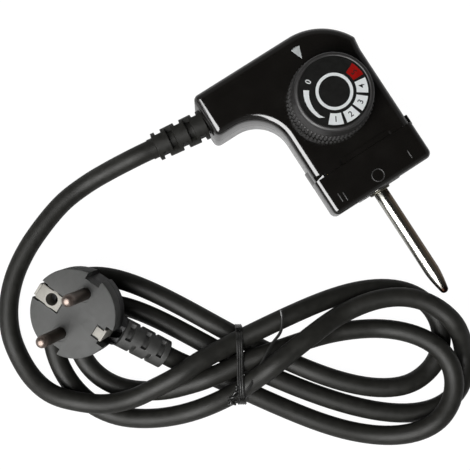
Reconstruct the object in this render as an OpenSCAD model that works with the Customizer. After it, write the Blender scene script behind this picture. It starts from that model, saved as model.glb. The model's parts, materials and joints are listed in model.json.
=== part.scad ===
// Griddle thermostat control: a head with a sensing probe and a dial, a mains cord tied in a
// figure-eight hank, and an angled mains plug. Millimetres. The origin is on the probe's axis at the
// head's front face. +Z is up along the dial's axis, and the probe points along -Y.

/* [Case] */
// Thickness of the head, from the table to its flat top
case_h = 29; // [27:0.5:34]
// Distance from the front face to the dial's axis
knob_y = 41; // [39:0.5:43]
// Distance from the dial's axis to the rear edge of the head
knob_back = 30.5; // [30:0.5:36]
// How far the neck reaches sideways from the dial's axis
neck_reach = 46; // [42:1:60]
// Width of the neck
neck_w = 19; // [18:0.5:22]
// Radius of the rear corner beside the dial
rear_arc_r = 26; // [24:0.5:27]
// How far the rear corner stands out past the body's side
shoulder_out = 1.75; // [1:0.25:4]
// Radius of the hollow between the neck and the body
fillet_r = 15.5; // [12:0.5:18]
// Wall thickness of the mouldings
wall = 2.2; // [1.8:0.1:2.6]
// Rounding of the top and bottom edges
edge_r = 1.6; // [0.6:0.1:1.8]
// Height of the probe's axis above the table
probe_h = 14.5; // [13.5:0.25:15.5]

/* [Shroud] */
// Depth of the front cover
shroud_len = 16; // [15:0.5:18]
// How far the front cover stands out past the body on each side
shroud_out = 1.2; // [0.8:0.1:2]
// Distance from the probe's axis to each socket
socket_x = 13; // [12.5:0.25:14]
// Bore radius of each socket
socket_bore_r = 3.05; // [2.5:0.05:3.1]
// Bore depth of each socket
socket_depth = 12; // [10:0.5:13]
// Wall of the socket sleeve
socket_wall = 1.1; // [0.8:0.1:1.2]
// Room between each socket sleeve and the side wall of the front cover
side_room = 3.25; // [1:0.05:4]

/* [Dial] */
// Radius of the knob's ribbed skirt
knob_r = 17; // [16:0.25:18]
// Radius at the knob's top
knob_top_r = 15.7; // [15.3:0.1:16]
// Height of the knob
knob_h = 14.5; // [12:0.5:18]
// Height of the ribbed band
skirt_h = 6; // [4:0.5:7]
// Gap between the case and the knob
knob_gap = 0.6; // [0.4:0.1:1]
// Number of ribs round the skirt
rib_count = 64; // [40:1:80]
// Depth of the ribs
rib_depth = 0.45; // [0.2:0.05:0.6]
// Radius of the round insert in the knob's top
dial_r = 13.9; // [13.6:0.1:14.2]
// Radius of the spindle
spindle_r = 3; // [2.5:0.1:3.2]
// Turn of the dial from off to the highest setting, in degrees
dial_turn = 285; // [180:5:300]

/* [Probe] */
// Radius of the probe
probe_r = 3.1; // [2.9:0.05:3.3]
// Length of the probe in front of the head
probe_len = 50.5; // [40:0.5:80]
// Length of the rounded tip
tip_len = 8; // [5:0.5:10]
// Bore radius inside the probe
probe_bore_r = 2.1; // [2:0.05:2.2]
// Radius of the rod inside the probe
rod_r = 1.75; // [1.5:0.05:1.8]
// Travel of the rod as the probe warms
rod_travel = 0.4; // [0.2:0.05:0.5]

/* [Thermostat] */
// Thickness of the steel frame
frame_t = 1.2; // [1:0.1:1.4]
// Room between the steel frame and each socket sleeve
frame_room = 1.85; // [1.4:0.05:2.4]
// Travel of the adjusting pin over the dial's turn
pin_travel = 0.5; // [0.3:0.05:0.6]
// Radius of the adjusting pin
pin_r = 1.2; // [1:0.05:1.3]
// Width of the contact arms
arm_w = 5; // [4:0.25:6]
// Thickness of the contact arms
arm_t = 0.5; // [0.4:0.05:0.6]

/* [Cord] */
// Diameter of the cord
cord_d = 8; // [7.6:0.1:8.1]
// Length of the ribbed relief at the head
relief_len = 25; // [21:0.5:27]
// Largest radius of the ribbed relief
relief_r = 6.3; // [5.9:0.1:6.6]
// Sideways bend of the relief at the head, in degrees
relief_bend = 7; // [0:1:10]
// Length of the segmented relief at the plug
plug_relief_len = 21; // [18:0.5:22]
// Radius of each wire inside
wire_r = 1.1; // [0.9:0.05:1.2]
// Thickness of the tie's wire
tie_t = 1.1; // [0.8:0.05:1.2]

/* [Plug] */
// Radius of the plug's face
face_r = 17.8; // [17:0.1:18.4]
// Depth of the plug behind its face
plug_depth = 20; // [19.5:0.25:21.5]
// Depth of the grey insert
insert_depth = 6; // [5:0.25:7]
// Radius of each plug pin
plug_pin_r = 2.4; // [2:0.05:2.45]
// Length of each plug pin
plug_pin_len = 19; // [17:0.5:20]
// Distance between the plug pins
plug_pin_gap = 19; // [18.5:0.1:19.5]
// Bore radius of the earth hole
earth_bore_r = 2.5; // [2.3:0.05:2.6]
// Distance from the plug's axis to the earth hole
earth_hole_y = 10; // [9.8:0.1:10.4]
// Lean of the plug as it lies on the loops, in degrees
plug_tilt = 16; // [14:1:17]

/* [Hidden] */

fine = 64;
coarse = 32;
over = 0.5;
fit_gap = 0.05;
seat_gap = 0.3;

// Levels and sides of the head
case_len = knob_y + knob_back;
socket_r = socket_bore_r + socket_wall;
body_w = 2 * (socket_x + socket_r + side_room + wall - shroud_out);
frame_w = 2 * (socket_x - socket_r - frame_room);
floor_z = -probe_h;
case_top = case_h - probe_h;
in_top = case_top - wall;
in_floor = floor_z + wall;
body_x = body_w / 2;
shroud_x = body_x + shroud_out;
case_front = shroud_len + seat_gap;
neck_y = case_len - neck_w / 2;
neck_edge = case_len - neck_w;
arc_y = case_len - rear_arc_r;
shoulder_x = body_x + shoulder_out;
shoulder_y = arc_y + sqrt(pow(rear_arc_r, 2) - pow(shoulder_x, 2));
shoulder_drop = 3 * shoulder_out;
clip_len = 6;
clip_out = 1.4;
clip_h = 9;
edge_steps = 4;

// Levels of the dial
knob_z = case_top + knob_gap;
knob_top = knob_z + knob_h;
knob_wall = 2;
knob_round = 1.4;
disc_t = 1;
disc_sink = 0.25;
disc_z = knob_top - disc_sink - disc_t;
disc_top = knob_top - disc_sink;
print_t = 0.12;
hub_wall = 2.4;
hub_r = spindle_r + hub_wall;
skirt_step = 0.4;

// Printed fields, as angles about the dial's axis with zero along +X
pointer_angle = 90.6;
field_step = 33;
field_span = 27;
field_in_r = 8.6;
field_out_r = 13.1;
ring_in_r = 6.1;
ring_out_r = 7.3;
arrow_out_r = 12;
arrow_in_r = 9.7;
arrow_tip_r = 10.9;
arrow_start = 145.6;
arrow_end = 207;
arrow_head = 10;
arrow_slices = 12;
stop_room = 3.6;
first_field = pointer_angle + dial_turn - stop_room - 4 * field_step;
function arrow_way(i) =
    let (angle = arrow_start + (arrow_end - arrow_start) * i / arrow_slices) [cos(angle), sin(angle)];
arrow_tip = arrow_tip_r * [cos(arrow_end + arrow_head), sin(arrow_end + arrow_head)];
pointer_len = 5.7;
pointer_w = 4;
pointer_room = 5;
pointer_tip_r = knob_back - pointer_room - pointer_len;

// Thermostat levels
frame_down = 6.5;
frame_z = case_top - frame_down;
frame_front = 9;
base_len = 7;
base_step = 9;
base_front = knob_y + base_step;
frame_tail = 6;
frame_end = base_front + frame_tail;
base_w = 10;
base_bottom = -3;
moving_z = 4;
arm_step = 17;
arm_front = knob_y - arm_step;
rivet_r = 1.5;
rivet_h = 1.5;
rivet_in = 2.5;
rivet_y = arm_front + rivet_in;
rivet_travel = pin_travel * (base_front - rivet_y) / base_step;
contact_gap = 0.65;
fixed_z = moving_z - rivet_h - rivet_travel - contact_gap - rivet_h;
bush_wall = 1.5;
bush_r = spindle_r + bush_wall;
flange_r = bush_r + bush_wall;
flange_t = 1.4;
spindle_up = 2;
spindle_bottom = moving_z + spindle_up;
pin_bottom = moving_z + arm_t / 2 + seat_gap;
pin_len = 4.6;
clip_t = 0.6;

// Probe, sockets and the block that holds them
collar_r = 4.6;
collar_out = 1.2;
collar_in = 12;
shank_step = 0.4;
shank_r = probe_r - shank_step;
tip_slices = 6;
bore_end = probe_len - tip_len / 2;
rod_front = rod_travel + seat_gap - bore_end;
rod_back = arm_front - seat_gap;
socket_front = wall + over;
socket_tail = 6;
socket_back = socket_front + socket_depth + socket_tail;
wire_hole = 5;
screw_in = 3;
carrier_front = 8;
carrier_len = 8;
carrier_h = 15;
carrier_slot = frame_w + 2 * seat_gap;
hole_room = 0.6;
shroud_hole_r = socket_bore_r + hole_room;
strip_w = 5;
strip_t = 0.6;
strip_len = 9;
strip_z = -collar_r - strip_t - 2 * fit_gap;
wire_spread = 1.8;
wire_rise = 3;
wire_lead = 6;
wire_side = frame_w / 2 + wire_spread;
screw_r = 1.4;
screw_head_r = 2.6;
screw_head_h = 1.6;
boss_r = 4.4;
boss_pilot_r = 1.5;
sink_depth = 6;
boss_step = 10;
case_screw_places = [[body_x - boss_r, knob_y - boss_step], [boss_r - body_x, knob_y - boss_step],
    [body_x - boss_r, arc_y + boss_step]];

// Cord, relief and clamp
cord_r = cord_d / 2;
core_in = 12;
core_end = core_in - neck_reach;
relief_step = 0.75;
relief_root_r = cord_r + relief_step;
relief_root = 4;
relief_ribs = 4;
groove_share = 0.3;
rib_fall = 0.19;
plug_rib_fall = 0.15;
clamp_in = 7;
clamp_x = clamp_in - neck_reach;
clamp_w = 5;
clamp_h = 7;
clamp_room = 0.4;
clamp_reach = neck_w / 2 - wall - clamp_room;
clamp_screw_y = cord_r + screw_r + 2 * fit_gap;
clamp_head_out = 0.35;
cord_sides = 8;
hank_sides = 6;
hank_rings = 24;

// Hank: the figure-eight loops lie in a frame at the waist, where the tie holds them
waist = [-87, -29];
waist_turn = -32.7;
slot = 9.9;
low_slot = 10.8;
rest_z = floor_z + cord_r;
layer_gap = 0.8;
layer = cord_d + layer_gap;
// One row a lobe: side, place at the waist on the way in and out, reach, half width, sideways shift,
// and lean of the loop along its reach
lobe_sizes = [
    [1, slot, slot, 85.1, 20.7, 0.2, 0],
    [-1, slot, -low_slot, 78.5, 20.8, 16, 0],
    [1, -low_slot, 0, 92.4, 26.8, 15.2, -11],
    [-1, 0, 0, 68, 16.9, 12.4, 0],
    [1, 0, -low_slot, 87.5, 18, -6.5, 4]];
// Height of each lobe along its run, as pairs of a share of the run and a share of a layer
lobe_height_shares = [
    [[0, 1.18], [0.06, 1.18], [0.22, 0], [0.62, 0], [0.72, 0.3], [0.86, 0.3], [0.94, 0.08], [1, 0.18]],
    [[0, 0.18], [0.12, 0], [0.82, 0], [0.96, 1.18], [1, 1.18]],
    [[0, 1.18], [0.06, 2.1], [0.11, 1.95], [0.2, 1.05], [0.44, 1], [0.56, 0], [0.9, 0], [1, 0.18]],
    [[0, 0.18], [0.12, 0], [0.78, 0], [0.88, 0.7], [0.94, 1.18], [1, 1.18]],
    [[0, 1.18], [0.04, 1.18], [0.14, 0], [0.2, 0], [0.37, 1.05], [0.58, 1.05], [0.8, 0], [0.9, 0],
        [1, 0.18]]];

// Free stretch from the head to the waist, with heights above the table
lead_route = [[-79, 65.8, 13.8], [-90, 67.5, 9], [-101, 68.5, 4.8], [-113, 67.5, 4],
    [-126, 63.5, 4], [-138, 58, 4], [-148, 51, 4], [-156, 42, 4], [-161, 32, 4], [-163, 21, 4],
    [-162.3, 11, 5.8], [-158.5, 2, 9.4], [-151, -6, 12.8], [-142, -13, 13.4], [-132, -17, 13.8],
    [-121, -18.5, 16.5], [-110, -19.3, 19.6], [-101, -19, 19]];
// Free stretch from the waist to the plug
tail_route = [[-102.4, -23.8, 4.8], [-107.2, -16.2, 8]];

// Plug, placed and leaning as it lies on the loops
plug_up = 31;
plug_at = [-131.6, 23.9, floor_z + plug_up];
plug_turn = 23;
outlet_slope = 24;
outlet_from = 9;
outlet_start = 18.5;
outlet_r = 6.4;
plug_relief_r = 6.1;
relief_blocks = 4;
back_r = 11.5;
groove_w = 6.5;
groove_depth = 3;
notch_w = 8;
notch_depth = 3.6;
plug_wall = 2.4;
pin_round = 2;
pin_root = 8;
pin_step = 0.4;
pin_root_r = plug_pin_r - pin_step;
bridge_t = 2.5;
bridge_w = 10;
plate_w = 6.4;
plate_t = 0.8;
plate_lap = 4.4;
sleeve_wall = 1;
sleeve_r = earth_bore_r + sleeve_wall;
clip_inset = 0.5;
earth_deep = 15;
crimp_gap = 0.1;
clip_w = 5;
clip_thick = 1;
shell_t = 1;
shell_drop = 3;
bulge = 1.2;
bulge_up = 5;
outlet_flare = 1.5;
crimp_in = 1.6;
crimp_len = 3.5;
crimp_wall = 0.8;
inner_share = 0.8;
sheath_y = -7.8;
crimp_z = -pin_root - bridge_t - crimp_gap - crimp_len;
clip_deep = 12;
tab_len = 3.2;

// Tie round the waist, as half sizes and levels
tie_side = 17.2;
tie_low = -17.8;
tie_round = 4;
tie_space = 4.2;
tie_over = 3.3;
tie_top = floor_z + layer * 2 + tie_over;
tie_turn = 40;
tie_tail_len = 23;
tie_tail_w = 3;

function ease(t) = t * t * (3 - 2 * t);
function height_share(table, t, i = 0) =
    i >= len(table) - 2 || t <= table[i + 1][0]
    ? table[i][1] + (table[i + 1][1] - table[i][1])
        * ease((t - table[i][0]) / (table[i + 1][0] - table[i][0]))
    : height_share(table, t, i + 1);

// A point of the hank's frame, along and across the loops, in the part's own frame
function hank_xy(a, b) = [
    waist[0] + a * cos(waist_turn) - b * sin(waist_turn),
    waist[1] + a * sin(waist_turn) + b * cos(waist_turn)];

function lobe_point(k, t) =
    let (s = lobe_sizes[k],
        a = s[0] * s[3] * sin(180 * t) + s[6] * sin(360 * t),
        b = s[1] + (s[2] - s[1]) * ease(t) + s[5] * pow(sin(180 * t), 2) + s[4] * sin(360 * t),
        xy = hank_xy(a, b))
    [xy[0], xy[1], rest_z + layer * height_share(lobe_height_shares[k], t)];

// The loops as one run of points, with the given number of rings a lobe
function hank_route(rings) = [
    for (k = [0 : len(lobe_sizes) - 1])
        for (i = [0 : rings - 1]) lobe_point(k, i / rings),
    lobe_point(len(lobe_sizes) - 1, 1)];

function unit(v) = v / norm(v);
function above_table(route) = [for (p = route) [p[0], p[1], p[2] + floor_z]];

hank_points = hank_route(hank_rings);
hank_count = len(hank_points);
hank_in_dir = unit(hank_points[1] - hank_points[0]);
hank_out_dir = unit(hank_points[hank_count - 1] - hank_points[hank_count - 2]);
hank_start = hank_points[0] - hank_in_dir * cord_d;
hank_end = hank_points[hank_count - 1] + hank_out_dir * cord_d;
relief_flange = 2;
bend_step = 0.1;
bend_lap = 0.6;
bend_x = -neck_reach - seat_gap - relief_flange;
relief_run = relief_len - seat_gap - relief_flange;
relief_dir = [-cos(relief_bend), sin(relief_bend), 0];
relief_end = [bend_x, neck_y, 0] + relief_run * relief_dir;
outlet_dir = [0, -cos(outlet_slope), -sin(outlet_slope)];

// A point or direction of the plug's own frame, turned as the plug lies
function turned(v) =
    let (x = v[0] * cos(plug_turn) - v[1] * sin(plug_turn),
        y = v[0] * sin(plug_turn) + v[1] * cos(plug_turn))
    [x * cos(plug_tilt) - v[2] * sin(plug_tilt), y, x * sin(plug_tilt) + v[2] * cos(plug_tilt)];
plug_exit_local = [0, 0, -outlet_from] + outlet_dir * (outlet_start + plug_relief_len);
plug_exit = plug_at + turned(plug_exit_local);
plug_exit_dir = turned(outlet_dir);

// Least gap of the hank to itself, measured on points much finer than its rings
gap_rings = 72;
gap_points = hank_route(gap_rings);
gap_count = len(gap_points);
gap_runs = [for (i = 0, run = 0; i < gap_count;
    run = run + (i + 1 < gap_count ? norm(gap_points[i + 1] - gap_points[i]) : 0), i = i + 1) run];
gap_apart = 2.2 * cord_d;
least_gap = min([
    for (i = [0 : gap_count - 1])
        for (j = [i + 1 : 1 : gap_count - 1])
            if (gap_runs[j] - gap_runs[i] > gap_apart) norm(gap_points[i] - gap_points[j])]) - cord_d;
echo(hank_least_gap = least_gap);

// A tube of flat triangles along points, its two ends square to the given directions
module tube(points, radius, sides, start_dir, end_dir) {
    n = len(points);
    rings = [for (i = [0 : n - 1])
        let (along = i == 0 ? start_dir : (i == n - 1 ? end_dir
                : unit(unit(points[i + 1] - points[i]) + unit(points[i] - points[i - 1]))),
            side = unit(cross(along, [0, 0, 1])),
            rise = cross(side, along))
        for (k = [0 : sides - 1])
            points[i] + radius * (side * cos(360 * (k + 0.5) / sides)
                + rise * sin(360 * (k + 0.5) / sides))];
    middle = [points[0], points[n - 1]];
    skin = [for (i = [0 : n - 2])
        for (k = [0 : sides - 1])
            let (a = i * sides + k,
                b = i * sides + (k + 1) % sides)
            each [[a, b, b + sides], [a, b + sides, a + sides]]];
    caps = [for (k = [0 : sides - 1])
        each [[n * sides, (k + 1) % sides, k],
            [n * sides + 1, (n - 1) * sides + k, (n - 1) * sides + (k + 1) % sides]]];
    polyhedron(points = concat(rings, middle), faces = concat(skin, caps));
}

// A wire whose ends lie square to the given directions
module wire(points, radius, start_dir, end_dir) {
    tube(points, radius, cord_sides, start_dir, end_dir);
}

// Flat outline of the body and neck, drawn in by an inset
module body_outline(inset) {
    translate([-body_x + inset, case_front])
        square([body_w - 2 * inset, arc_y - case_front + over]);
    translate([-neck_reach + inset, neck_edge + inset])
        square([neck_reach - inset, neck_w - 2 * inset]);
    translate([-body_x + inset, arc_y])
        square([body_x - inset, neck_w + inset]);
    difference() {
        intersection() {
            translate([0, arc_y])
                circle(r = rear_arc_r - inset, $fn = fine * 2);
            translate([-over, arc_y])
                square([shoulder_x - inset + over, rear_arc_r]);
        }
        polygon([[body_x - inset, arc_y - over],
            [body_x - inset, shoulder_y - shoulder_drop],
            [shoulder_x - inset, shoulder_y],
            [shoulder_x + over, shoulder_y],
            [shoulder_x + over, arc_y - over]]);
    }
    difference() {
        translate([-body_x - fillet_r, neck_edge - fillet_r])
            square([fillet_r + inset + over, fillet_r + inset + over]);
        translate([-body_x - fillet_r, neck_edge - fillet_r])
            circle(r = fillet_r + inset, $fn = fine * 2);
    }
}

// Flat outline of the front cover, drawn in by an inset
module shroud_outline(inset) {
    translate([-shroud_x + inset, inset])
        square([2 * (shroud_x - inset), shroud_len - inset]);
}

// Slabs inside one another that step round an edge of radius edge_r, from level z0 towards level z1
module rounded_slabs(z0, z1) {
    way = z1 > z0 ? 1 : -1;
    for (i = [0 : edge_steps]) {
        high = abs(z1 - z0) - edge_r * (1 - sin(90 * i / edge_steps));
        translate([0, 0, way > 0 ? z0 : z0 - high])
            linear_extrude(high)
                children(i);
    }
}

function edge_inset(i) = edge_r * (1 - cos(90 * (i - 0.5) / edge_steps));

module body_block(z0, z1) {
    rounded_slabs(z0, z1) {
        body_outline(0);
        body_outline(edge_inset(1));
        body_outline(edge_inset(2));
        body_outline(edge_inset(3));
        body_outline(edge_inset(4));
    }
}

module shroud_block(z0, z1) {
    rounded_slabs(z0, z1) {
        shroud_outline(0);
        shroud_outline(edge_inset(1));
        shroud_outline(edge_inset(2));
        shroud_outline(edge_inset(3));
        shroud_outline(edge_inset(4));
    }
}

// Hollow of one half of the body, from the parting line towards its roof or floor
module body_hollow(z0, z1) {
    translate([0, 0, min(z0, z1)])
        linear_extrude(abs(z1 - z0))
            body_outline(wall);
    translate([wall - body_x, case_front - over, min(z0, z1)])
        cube([body_w - 2 * wall, wall + 2 * over, abs(z1 - z0)]);
}

// Round hole for the relief's neck in the end wall
module relief_hole() {
    translate([-neck_reach - over, neck_y, 0])
        rotate([0, 90, 0])
            cylinder(r = relief_root_r + seat_gap, h = wall + 2 * over, $fn = fine);
}

module upper_case() color("#1b1a19") {
    difference() {
        body_block(0, case_top);
        body_hollow(-over, in_top);
        relief_hole();
        translate([0, knob_y, in_top - over])
            cylinder(r = bush_r + seat_gap, h = wall + 2 * over, $fn = fine);
    }
    for (p = case_screw_places)
        difference() {
            translate([p[0], p[1], 0])
                cylinder(r = boss_r - fit_gap, h = in_top + fit_gap, $fn = fine);
            translate([p[0], p[1], -over])
                cylinder(r = screw_r + fit_gap, h = in_top / 2, $fn = fine);
        }
}

module lower_case() color("#1d1c1b") {
    difference() {
        body_block(0, floor_z);
        body_hollow(over, in_floor);
        relief_hole();
        for (p = case_screw_places)
            translate([p[0], p[1], floor_z - over])
                cylinder(r = screw_head_r + seat_gap, h = sink_depth + over, $fn = fine);
    }
    for (p = case_screw_places)
        difference() {
            translate([p[0], p[1], floor_z])
                cylinder(r = boss_r - fit_gap, h = probe_h, $fn = fine);
            translate([p[0], p[1], floor_z - over])
                cylinder(r = boss_pilot_r + fit_gap, h = probe_h + 2 * over, $fn = fine);
            translate([p[0], p[1], floor_z - over])
                cylinder(r = screw_head_r + seat_gap, h = sink_depth + over, $fn = fine);
        }
    difference() {
        translate([clamp_x - clamp_w / 2, neck_edge + wall - fit_gap, in_floor - fit_gap])
            cube([clamp_w, neck_w - 2 * wall + 2 * fit_gap, fit_gap - in_floor]);
        translate([clamp_x - clamp_w / 2 - over, neck_y, 0])
            rotate([0, 90, 0])
                cylinder(r = cord_r + fit_gap, h = clamp_w + 2 * over, $fn = fine);
        for (side = [-1, 1])
            translate([clamp_x, neck_y + side * clamp_screw_y, in_floor / 2])
                cylinder(r = screw_r + fit_gap, h = abs(in_floor), $fn = coarse);
    }
}

module connector_shroud() color("#1c1b1a") {
    difference() {
        union() {
            shroud_block(0, case_top);
            shroud_block(0, floor_z);
        }
        translate([wall - shroud_x, wall, in_floor])
            cube([2 * (shroud_x - wall), shroud_len, case_h - 2 * wall]);
        translate([0, wall + over, 0])
            rotate([90, 0, 0])
                cylinder(r = collar_r + fit_gap, h = wall + 2 * over, $fn = fine);
        for (side = [-1, 1])
            translate([side * socket_x, wall + over, 0])
                rotate([90, 0, 0])
                    cylinder(r = shroud_hole_r, h = wall + 2 * over, $fn = fine);
    }
    for (side = [-1, 1])
        translate([side * (body_x + seat_gap + clip_out / 2) - clip_out / 2,
            shroud_len - over, -clip_h / 2])
            cube([clip_out, clip_len + over, clip_h]);
}

module pointer_mark() color("#d9dbd8")
    translate([0, knob_y, case_top])
        linear_extrude(print_t)
            rotate(pointer_angle)
                polygon([[pointer_tip_r, 0],
                    [pointer_tip_r + pointer_len, pointer_w / 2],
                    [pointer_tip_r + pointer_len, -pointer_w / 2]]);

// Ribbed outline of the skirt
function rib_outline() = [for (i = [0 : 2 * rib_count - 1])
    let (r = i % 2 == 0 ? knob_r : knob_r - rib_depth)
    [r * cos(180 * i / rib_count), r * sin(180 * i / rib_count)]];

module knob() color("#181716")
    translate([0, knob_y, knob_z])
        difference() {
            union() {
                linear_extrude(skirt_h)
                    polygon(rib_outline());
                rotate_extrude($fn = fine * 2)
                    polygon([[0, skirt_h - over],
                        [knob_top_r + skirt_step, skirt_h - over],
                        [knob_top_r, knob_h - knob_round],
                        [knob_top_r - knob_round * 0.3, knob_h - knob_round * 0.3],
                        [knob_top_r - knob_round, knob_h],
                        [0, knob_h]]);
            }
            translate([0, 0, knob_h - disc_t - disc_sink])
                cylinder(r = dial_r + fit_gap, h = disc_t + disc_sink + over, $fn = fine * 2);
            difference() {
                translate([0, 0, -over])
                    cylinder(r = knob_r - knob_wall, h = knob_h - knob_wall - disc_t + over, $fn = fine);
                cylinder(r = hub_r, h = knob_h, $fn = fine);
            }
            translate([0, 0, -over])
                cylinder(r = bush_r + seat_gap, h = clip_t + 2 * knob_gap + over, $fn = fine);
            translate([0, 0, -over])
                cylinder(r = spindle_r + fit_gap, h = knob_h - disc_t - knob_wall + over, $fn = fine);
        }

module dial_disc() color("#151413")
    translate([0, knob_y, disc_z])
        cylinder(r = dial_r, h = disc_t, $fn = fine * 2);

// Flat ring sector about the dial's axis, between two angles
module sector(r_in, r_out, from, to) {
    rotate(from)
        rotate_extrude(angle = to - from, $fn = fine * 2)
            translate([r_in, 0])
                square([r_out - r_in, print_t]);
}

module dial_white_print() color("#eceeed")
    translate([0, knob_y, disc_top]) {
        sector(ring_in_r, ring_out_r, 0, 360);
        for (i = [0 : 3]) {
            middle = first_field + field_step * i;
            sector(field_in_r, field_out_r, middle - field_span / 2, middle + field_span / 2);
        }
        linear_extrude(print_t)
            polygon(concat(
                [for (i = [0 : arrow_slices]) arrow_out_r * arrow_way(i)],
                [arrow_tip],
                [for (i = [arrow_slices : -1 : 0])
                    (arrow_in_r + (arrow_tip_r - arrow_in_r) * i / arrow_slices) * arrow_way(i)]));
    }

module dial_red_print() color("#b3262b")
    translate([0, knob_y, disc_top]) {
        middle = first_field + field_step * 4;
        sector(field_in_r, field_out_r, middle - field_span / 2, middle + field_span / 2);
    }

module spindle() color("#b9b7b0")
    translate([0, knob_y, 0])
        difference() {
            translate([0, 0, spindle_bottom])
                cylinder(r = spindle_r, h = disc_z - knob_wall - spindle_bottom - seat_gap, $fn = fine);
            translate([0, 0, spindle_bottom - over])
                cylinder(r = pin_r + fit_gap, h = pin_len, $fn = fine);
        }

module spindle_clip() color("#a9a9a4")
    translate([0, knob_y, case_top + fit_gap])
        difference() {
            cylinder(r = bush_r, h = clip_t, $fn = fine);
            translate([0, 0, -over])
                cylinder(r = spindle_r + fit_gap, h = clip_t + 2 * over, $fn = fine);
        }

module spindle_bush() color("#c2a24c")
    translate([0, knob_y, 0])
        difference() {
            union() {
                translate([0, 0, frame_z - flange_t])
                    cylinder(r = flange_r, h = flange_t, $fn = fine);
                translate([0, 0, frame_z - fit_gap])
                    cylinder(r = bush_r, h = case_top - frame_z, $fn = fine);
            }
            translate([0, 0, frame_z - flange_t - over])
                cylinder(r = spindle_r + fit_gap, h = case_h, $fn = fine);
        }

module thermostat_frame() color("#aeb0b2")
    difference() {
        union() {
            translate([-frame_w / 2, frame_front, frame_z])
                cube([frame_w, frame_end - frame_front, frame_t]);
            translate([-frame_w / 2, frame_front, -carrier_h / 2 + wall])
                cube([frame_w, frame_t, frame_z + carrier_h / 2 - wall + frame_t]);
        }
        translate([0, knob_y, frame_z - over])
            cylinder(r = bush_r + fit_gap, h = frame_t + 2 * over, $fn = fine);
        translate([0, frame_front + frame_t + over, 0])
            rotate([90, 0, 0])
                cylinder(r = collar_r + fit_gap, h = frame_t + 2 * over, $fn = fine);
    }

module contact_base() color("#e6dfd0")
    translate([-base_w / 2, base_front, base_bottom])
        cube([base_w, base_len, frame_z - base_bottom]);

module fixed_contact_arm() color("#c48a4a") {
    translate([-arm_w / 2, arm_front, fixed_z - arm_t / 2])
        cube([arm_w, base_front - arm_front, arm_t]);
    translate([0, rivet_y, fixed_z])
        cylinder(r = rivet_r, h = rivet_h, $fn = coarse);
}

module moving_contact_arm() color("#c9964f") {
    translate([-arm_w / 2, arm_front, moving_z - arm_t / 2])
        cube([arm_w, base_front - arm_front - seat_gap, arm_t]);
    translate([0, rivet_y, moving_z - rivet_h])
        cylinder(r = rivet_r, h = rivet_h, $fn = coarse);
}

module adjusting_pin() color("#efe9dc")
    translate([0, knob_y, pin_bottom])
        cylinder(r = pin_r, h = pin_len, $fn = fine);

// Rounded end of a pin that stands on zero
module round_tip(r, length, round_len) {
    rotate_extrude($fn = fine)
        polygon(concat([[0, length - round_len - over], [r, length - round_len - over]],
            [for (i = [0 : tip_slices]) [r * cos(90 * i / tip_slices),
                length - round_len * (1 - sin(90 * i / tip_slices))]]));
}

module probe_tube() color("#c9c6c0")
    rotate([90, 0, 0])
        difference() {
            union() {
                translate([0, 0, collar_out + fit_gap])
                    cylinder(r = probe_r, h = probe_len - tip_len - collar_out - fit_gap, $fn = fine);
                round_tip(probe_r, probe_len, tip_len);
                translate([0, 0, -collar_in - over])
                    cylinder(r = shank_r, h = collar_in + collar_out + 2 * over, $fn = fine);
            }
            translate([0, 0, -collar_in - 2 * over])
                cylinder(r = probe_bore_r, h = collar_in + 2 * over + bore_end, $fn = fine);
        }

module probe_bush() color("#a7a49e")
    rotate([90, 0, 0])
        difference() {
            translate([0, 0, -collar_in])
                cylinder(r = collar_r, h = collar_in + collar_out, $fn = fine);
            translate([0, 0, -collar_in - over])
                cylinder(r = shank_r + fit_gap, h = collar_in + collar_out + 2 * over, $fn = fine);
        }

module expansion_rod() color("#8f8f8b")
    translate([0, rod_back, 0])
        rotate([90, 0, 0])
            cylinder(r = rod_r, h = rod_back - rod_front, $fn = fine);

module contact_carrier() color("#5b4636") {
    carrier_w = 2 * (shroud_x - wall - seat_gap);
    difference() {
        translate([-carrier_w / 2, carrier_front, -carrier_h / 2])
            cube([carrier_w, carrier_len - seat_gap, carrier_h]);
        translate([-carrier_slot / 2, carrier_front - over, wall - carrier_h / 2 - seat_gap])
            cube([carrier_slot, carrier_len + 2 * over, carrier_h]);
        for (side = [-1, 1])
            translate([side * socket_x, carrier_front + carrier_len + over, 0])
                rotate([90, 0, 0])
                    cylinder(r = socket_r + fit_gap, h = carrier_len + 2 * over, $fn = fine);
    }
}

// Socket sleeve with a bore at its mouth, and a wire hole and a screw hole at its back
module socket(side) {
    difference() {
        translate([side * socket_x, socket_back, 0])
            rotate([90, 0, 0])
                cylinder(r = socket_r, h = socket_back - socket_front, $fn = fine);
        translate([side * socket_x, socket_front + socket_depth, 0])
            rotate([90, 0, 0])
                cylinder(r = socket_bore_r, h = socket_depth + over, $fn = fine);
        translate([side * socket_x, socket_back + over, 0])
            rotate([90, 0, 0])
                cylinder(r = wire_r + fit_gap, h = wire_hole + over, $fn = coarse);
        translate([side * socket_x, socket_back - screw_in, 0])
            cylinder(r = screw_r + fit_gap, h = socket_r + over, $fn = coarse);
    }
}

module live_socket() color("#c7a452") socket(1);

module neutral_socket() color("#c7a452") socket(-1);

module socket_screws() color("#b5b5b0")
    for (side = [-1, 1])
        translate([side * socket_x, socket_back - screw_in, wire_r + seat_gap])
            cylinder(r = screw_r, h = socket_r + screw_r, $fn = coarse);

module earth_strip() color("#cfcfca") {
    translate([-strip_w / 2, frame_front + frame_t, -collar_r - strip_t - fit_gap])
        cube([strip_w, strip_len, strip_t]);
}

module live_wire() color("#6d4423")
    wire([[core_end, neck_y + wire_spread, wire_r], [core_end + wire_lead, neck_y, wire_rise],
        [-wire_side - wire_lead, neck_y - wire_rise, wire_rise],
        [-base_w / 2 - fit_gap, base_front + base_len / 2, wire_rise]], wire_r, [1, 0, 0], [1, 0, 0]);

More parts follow.
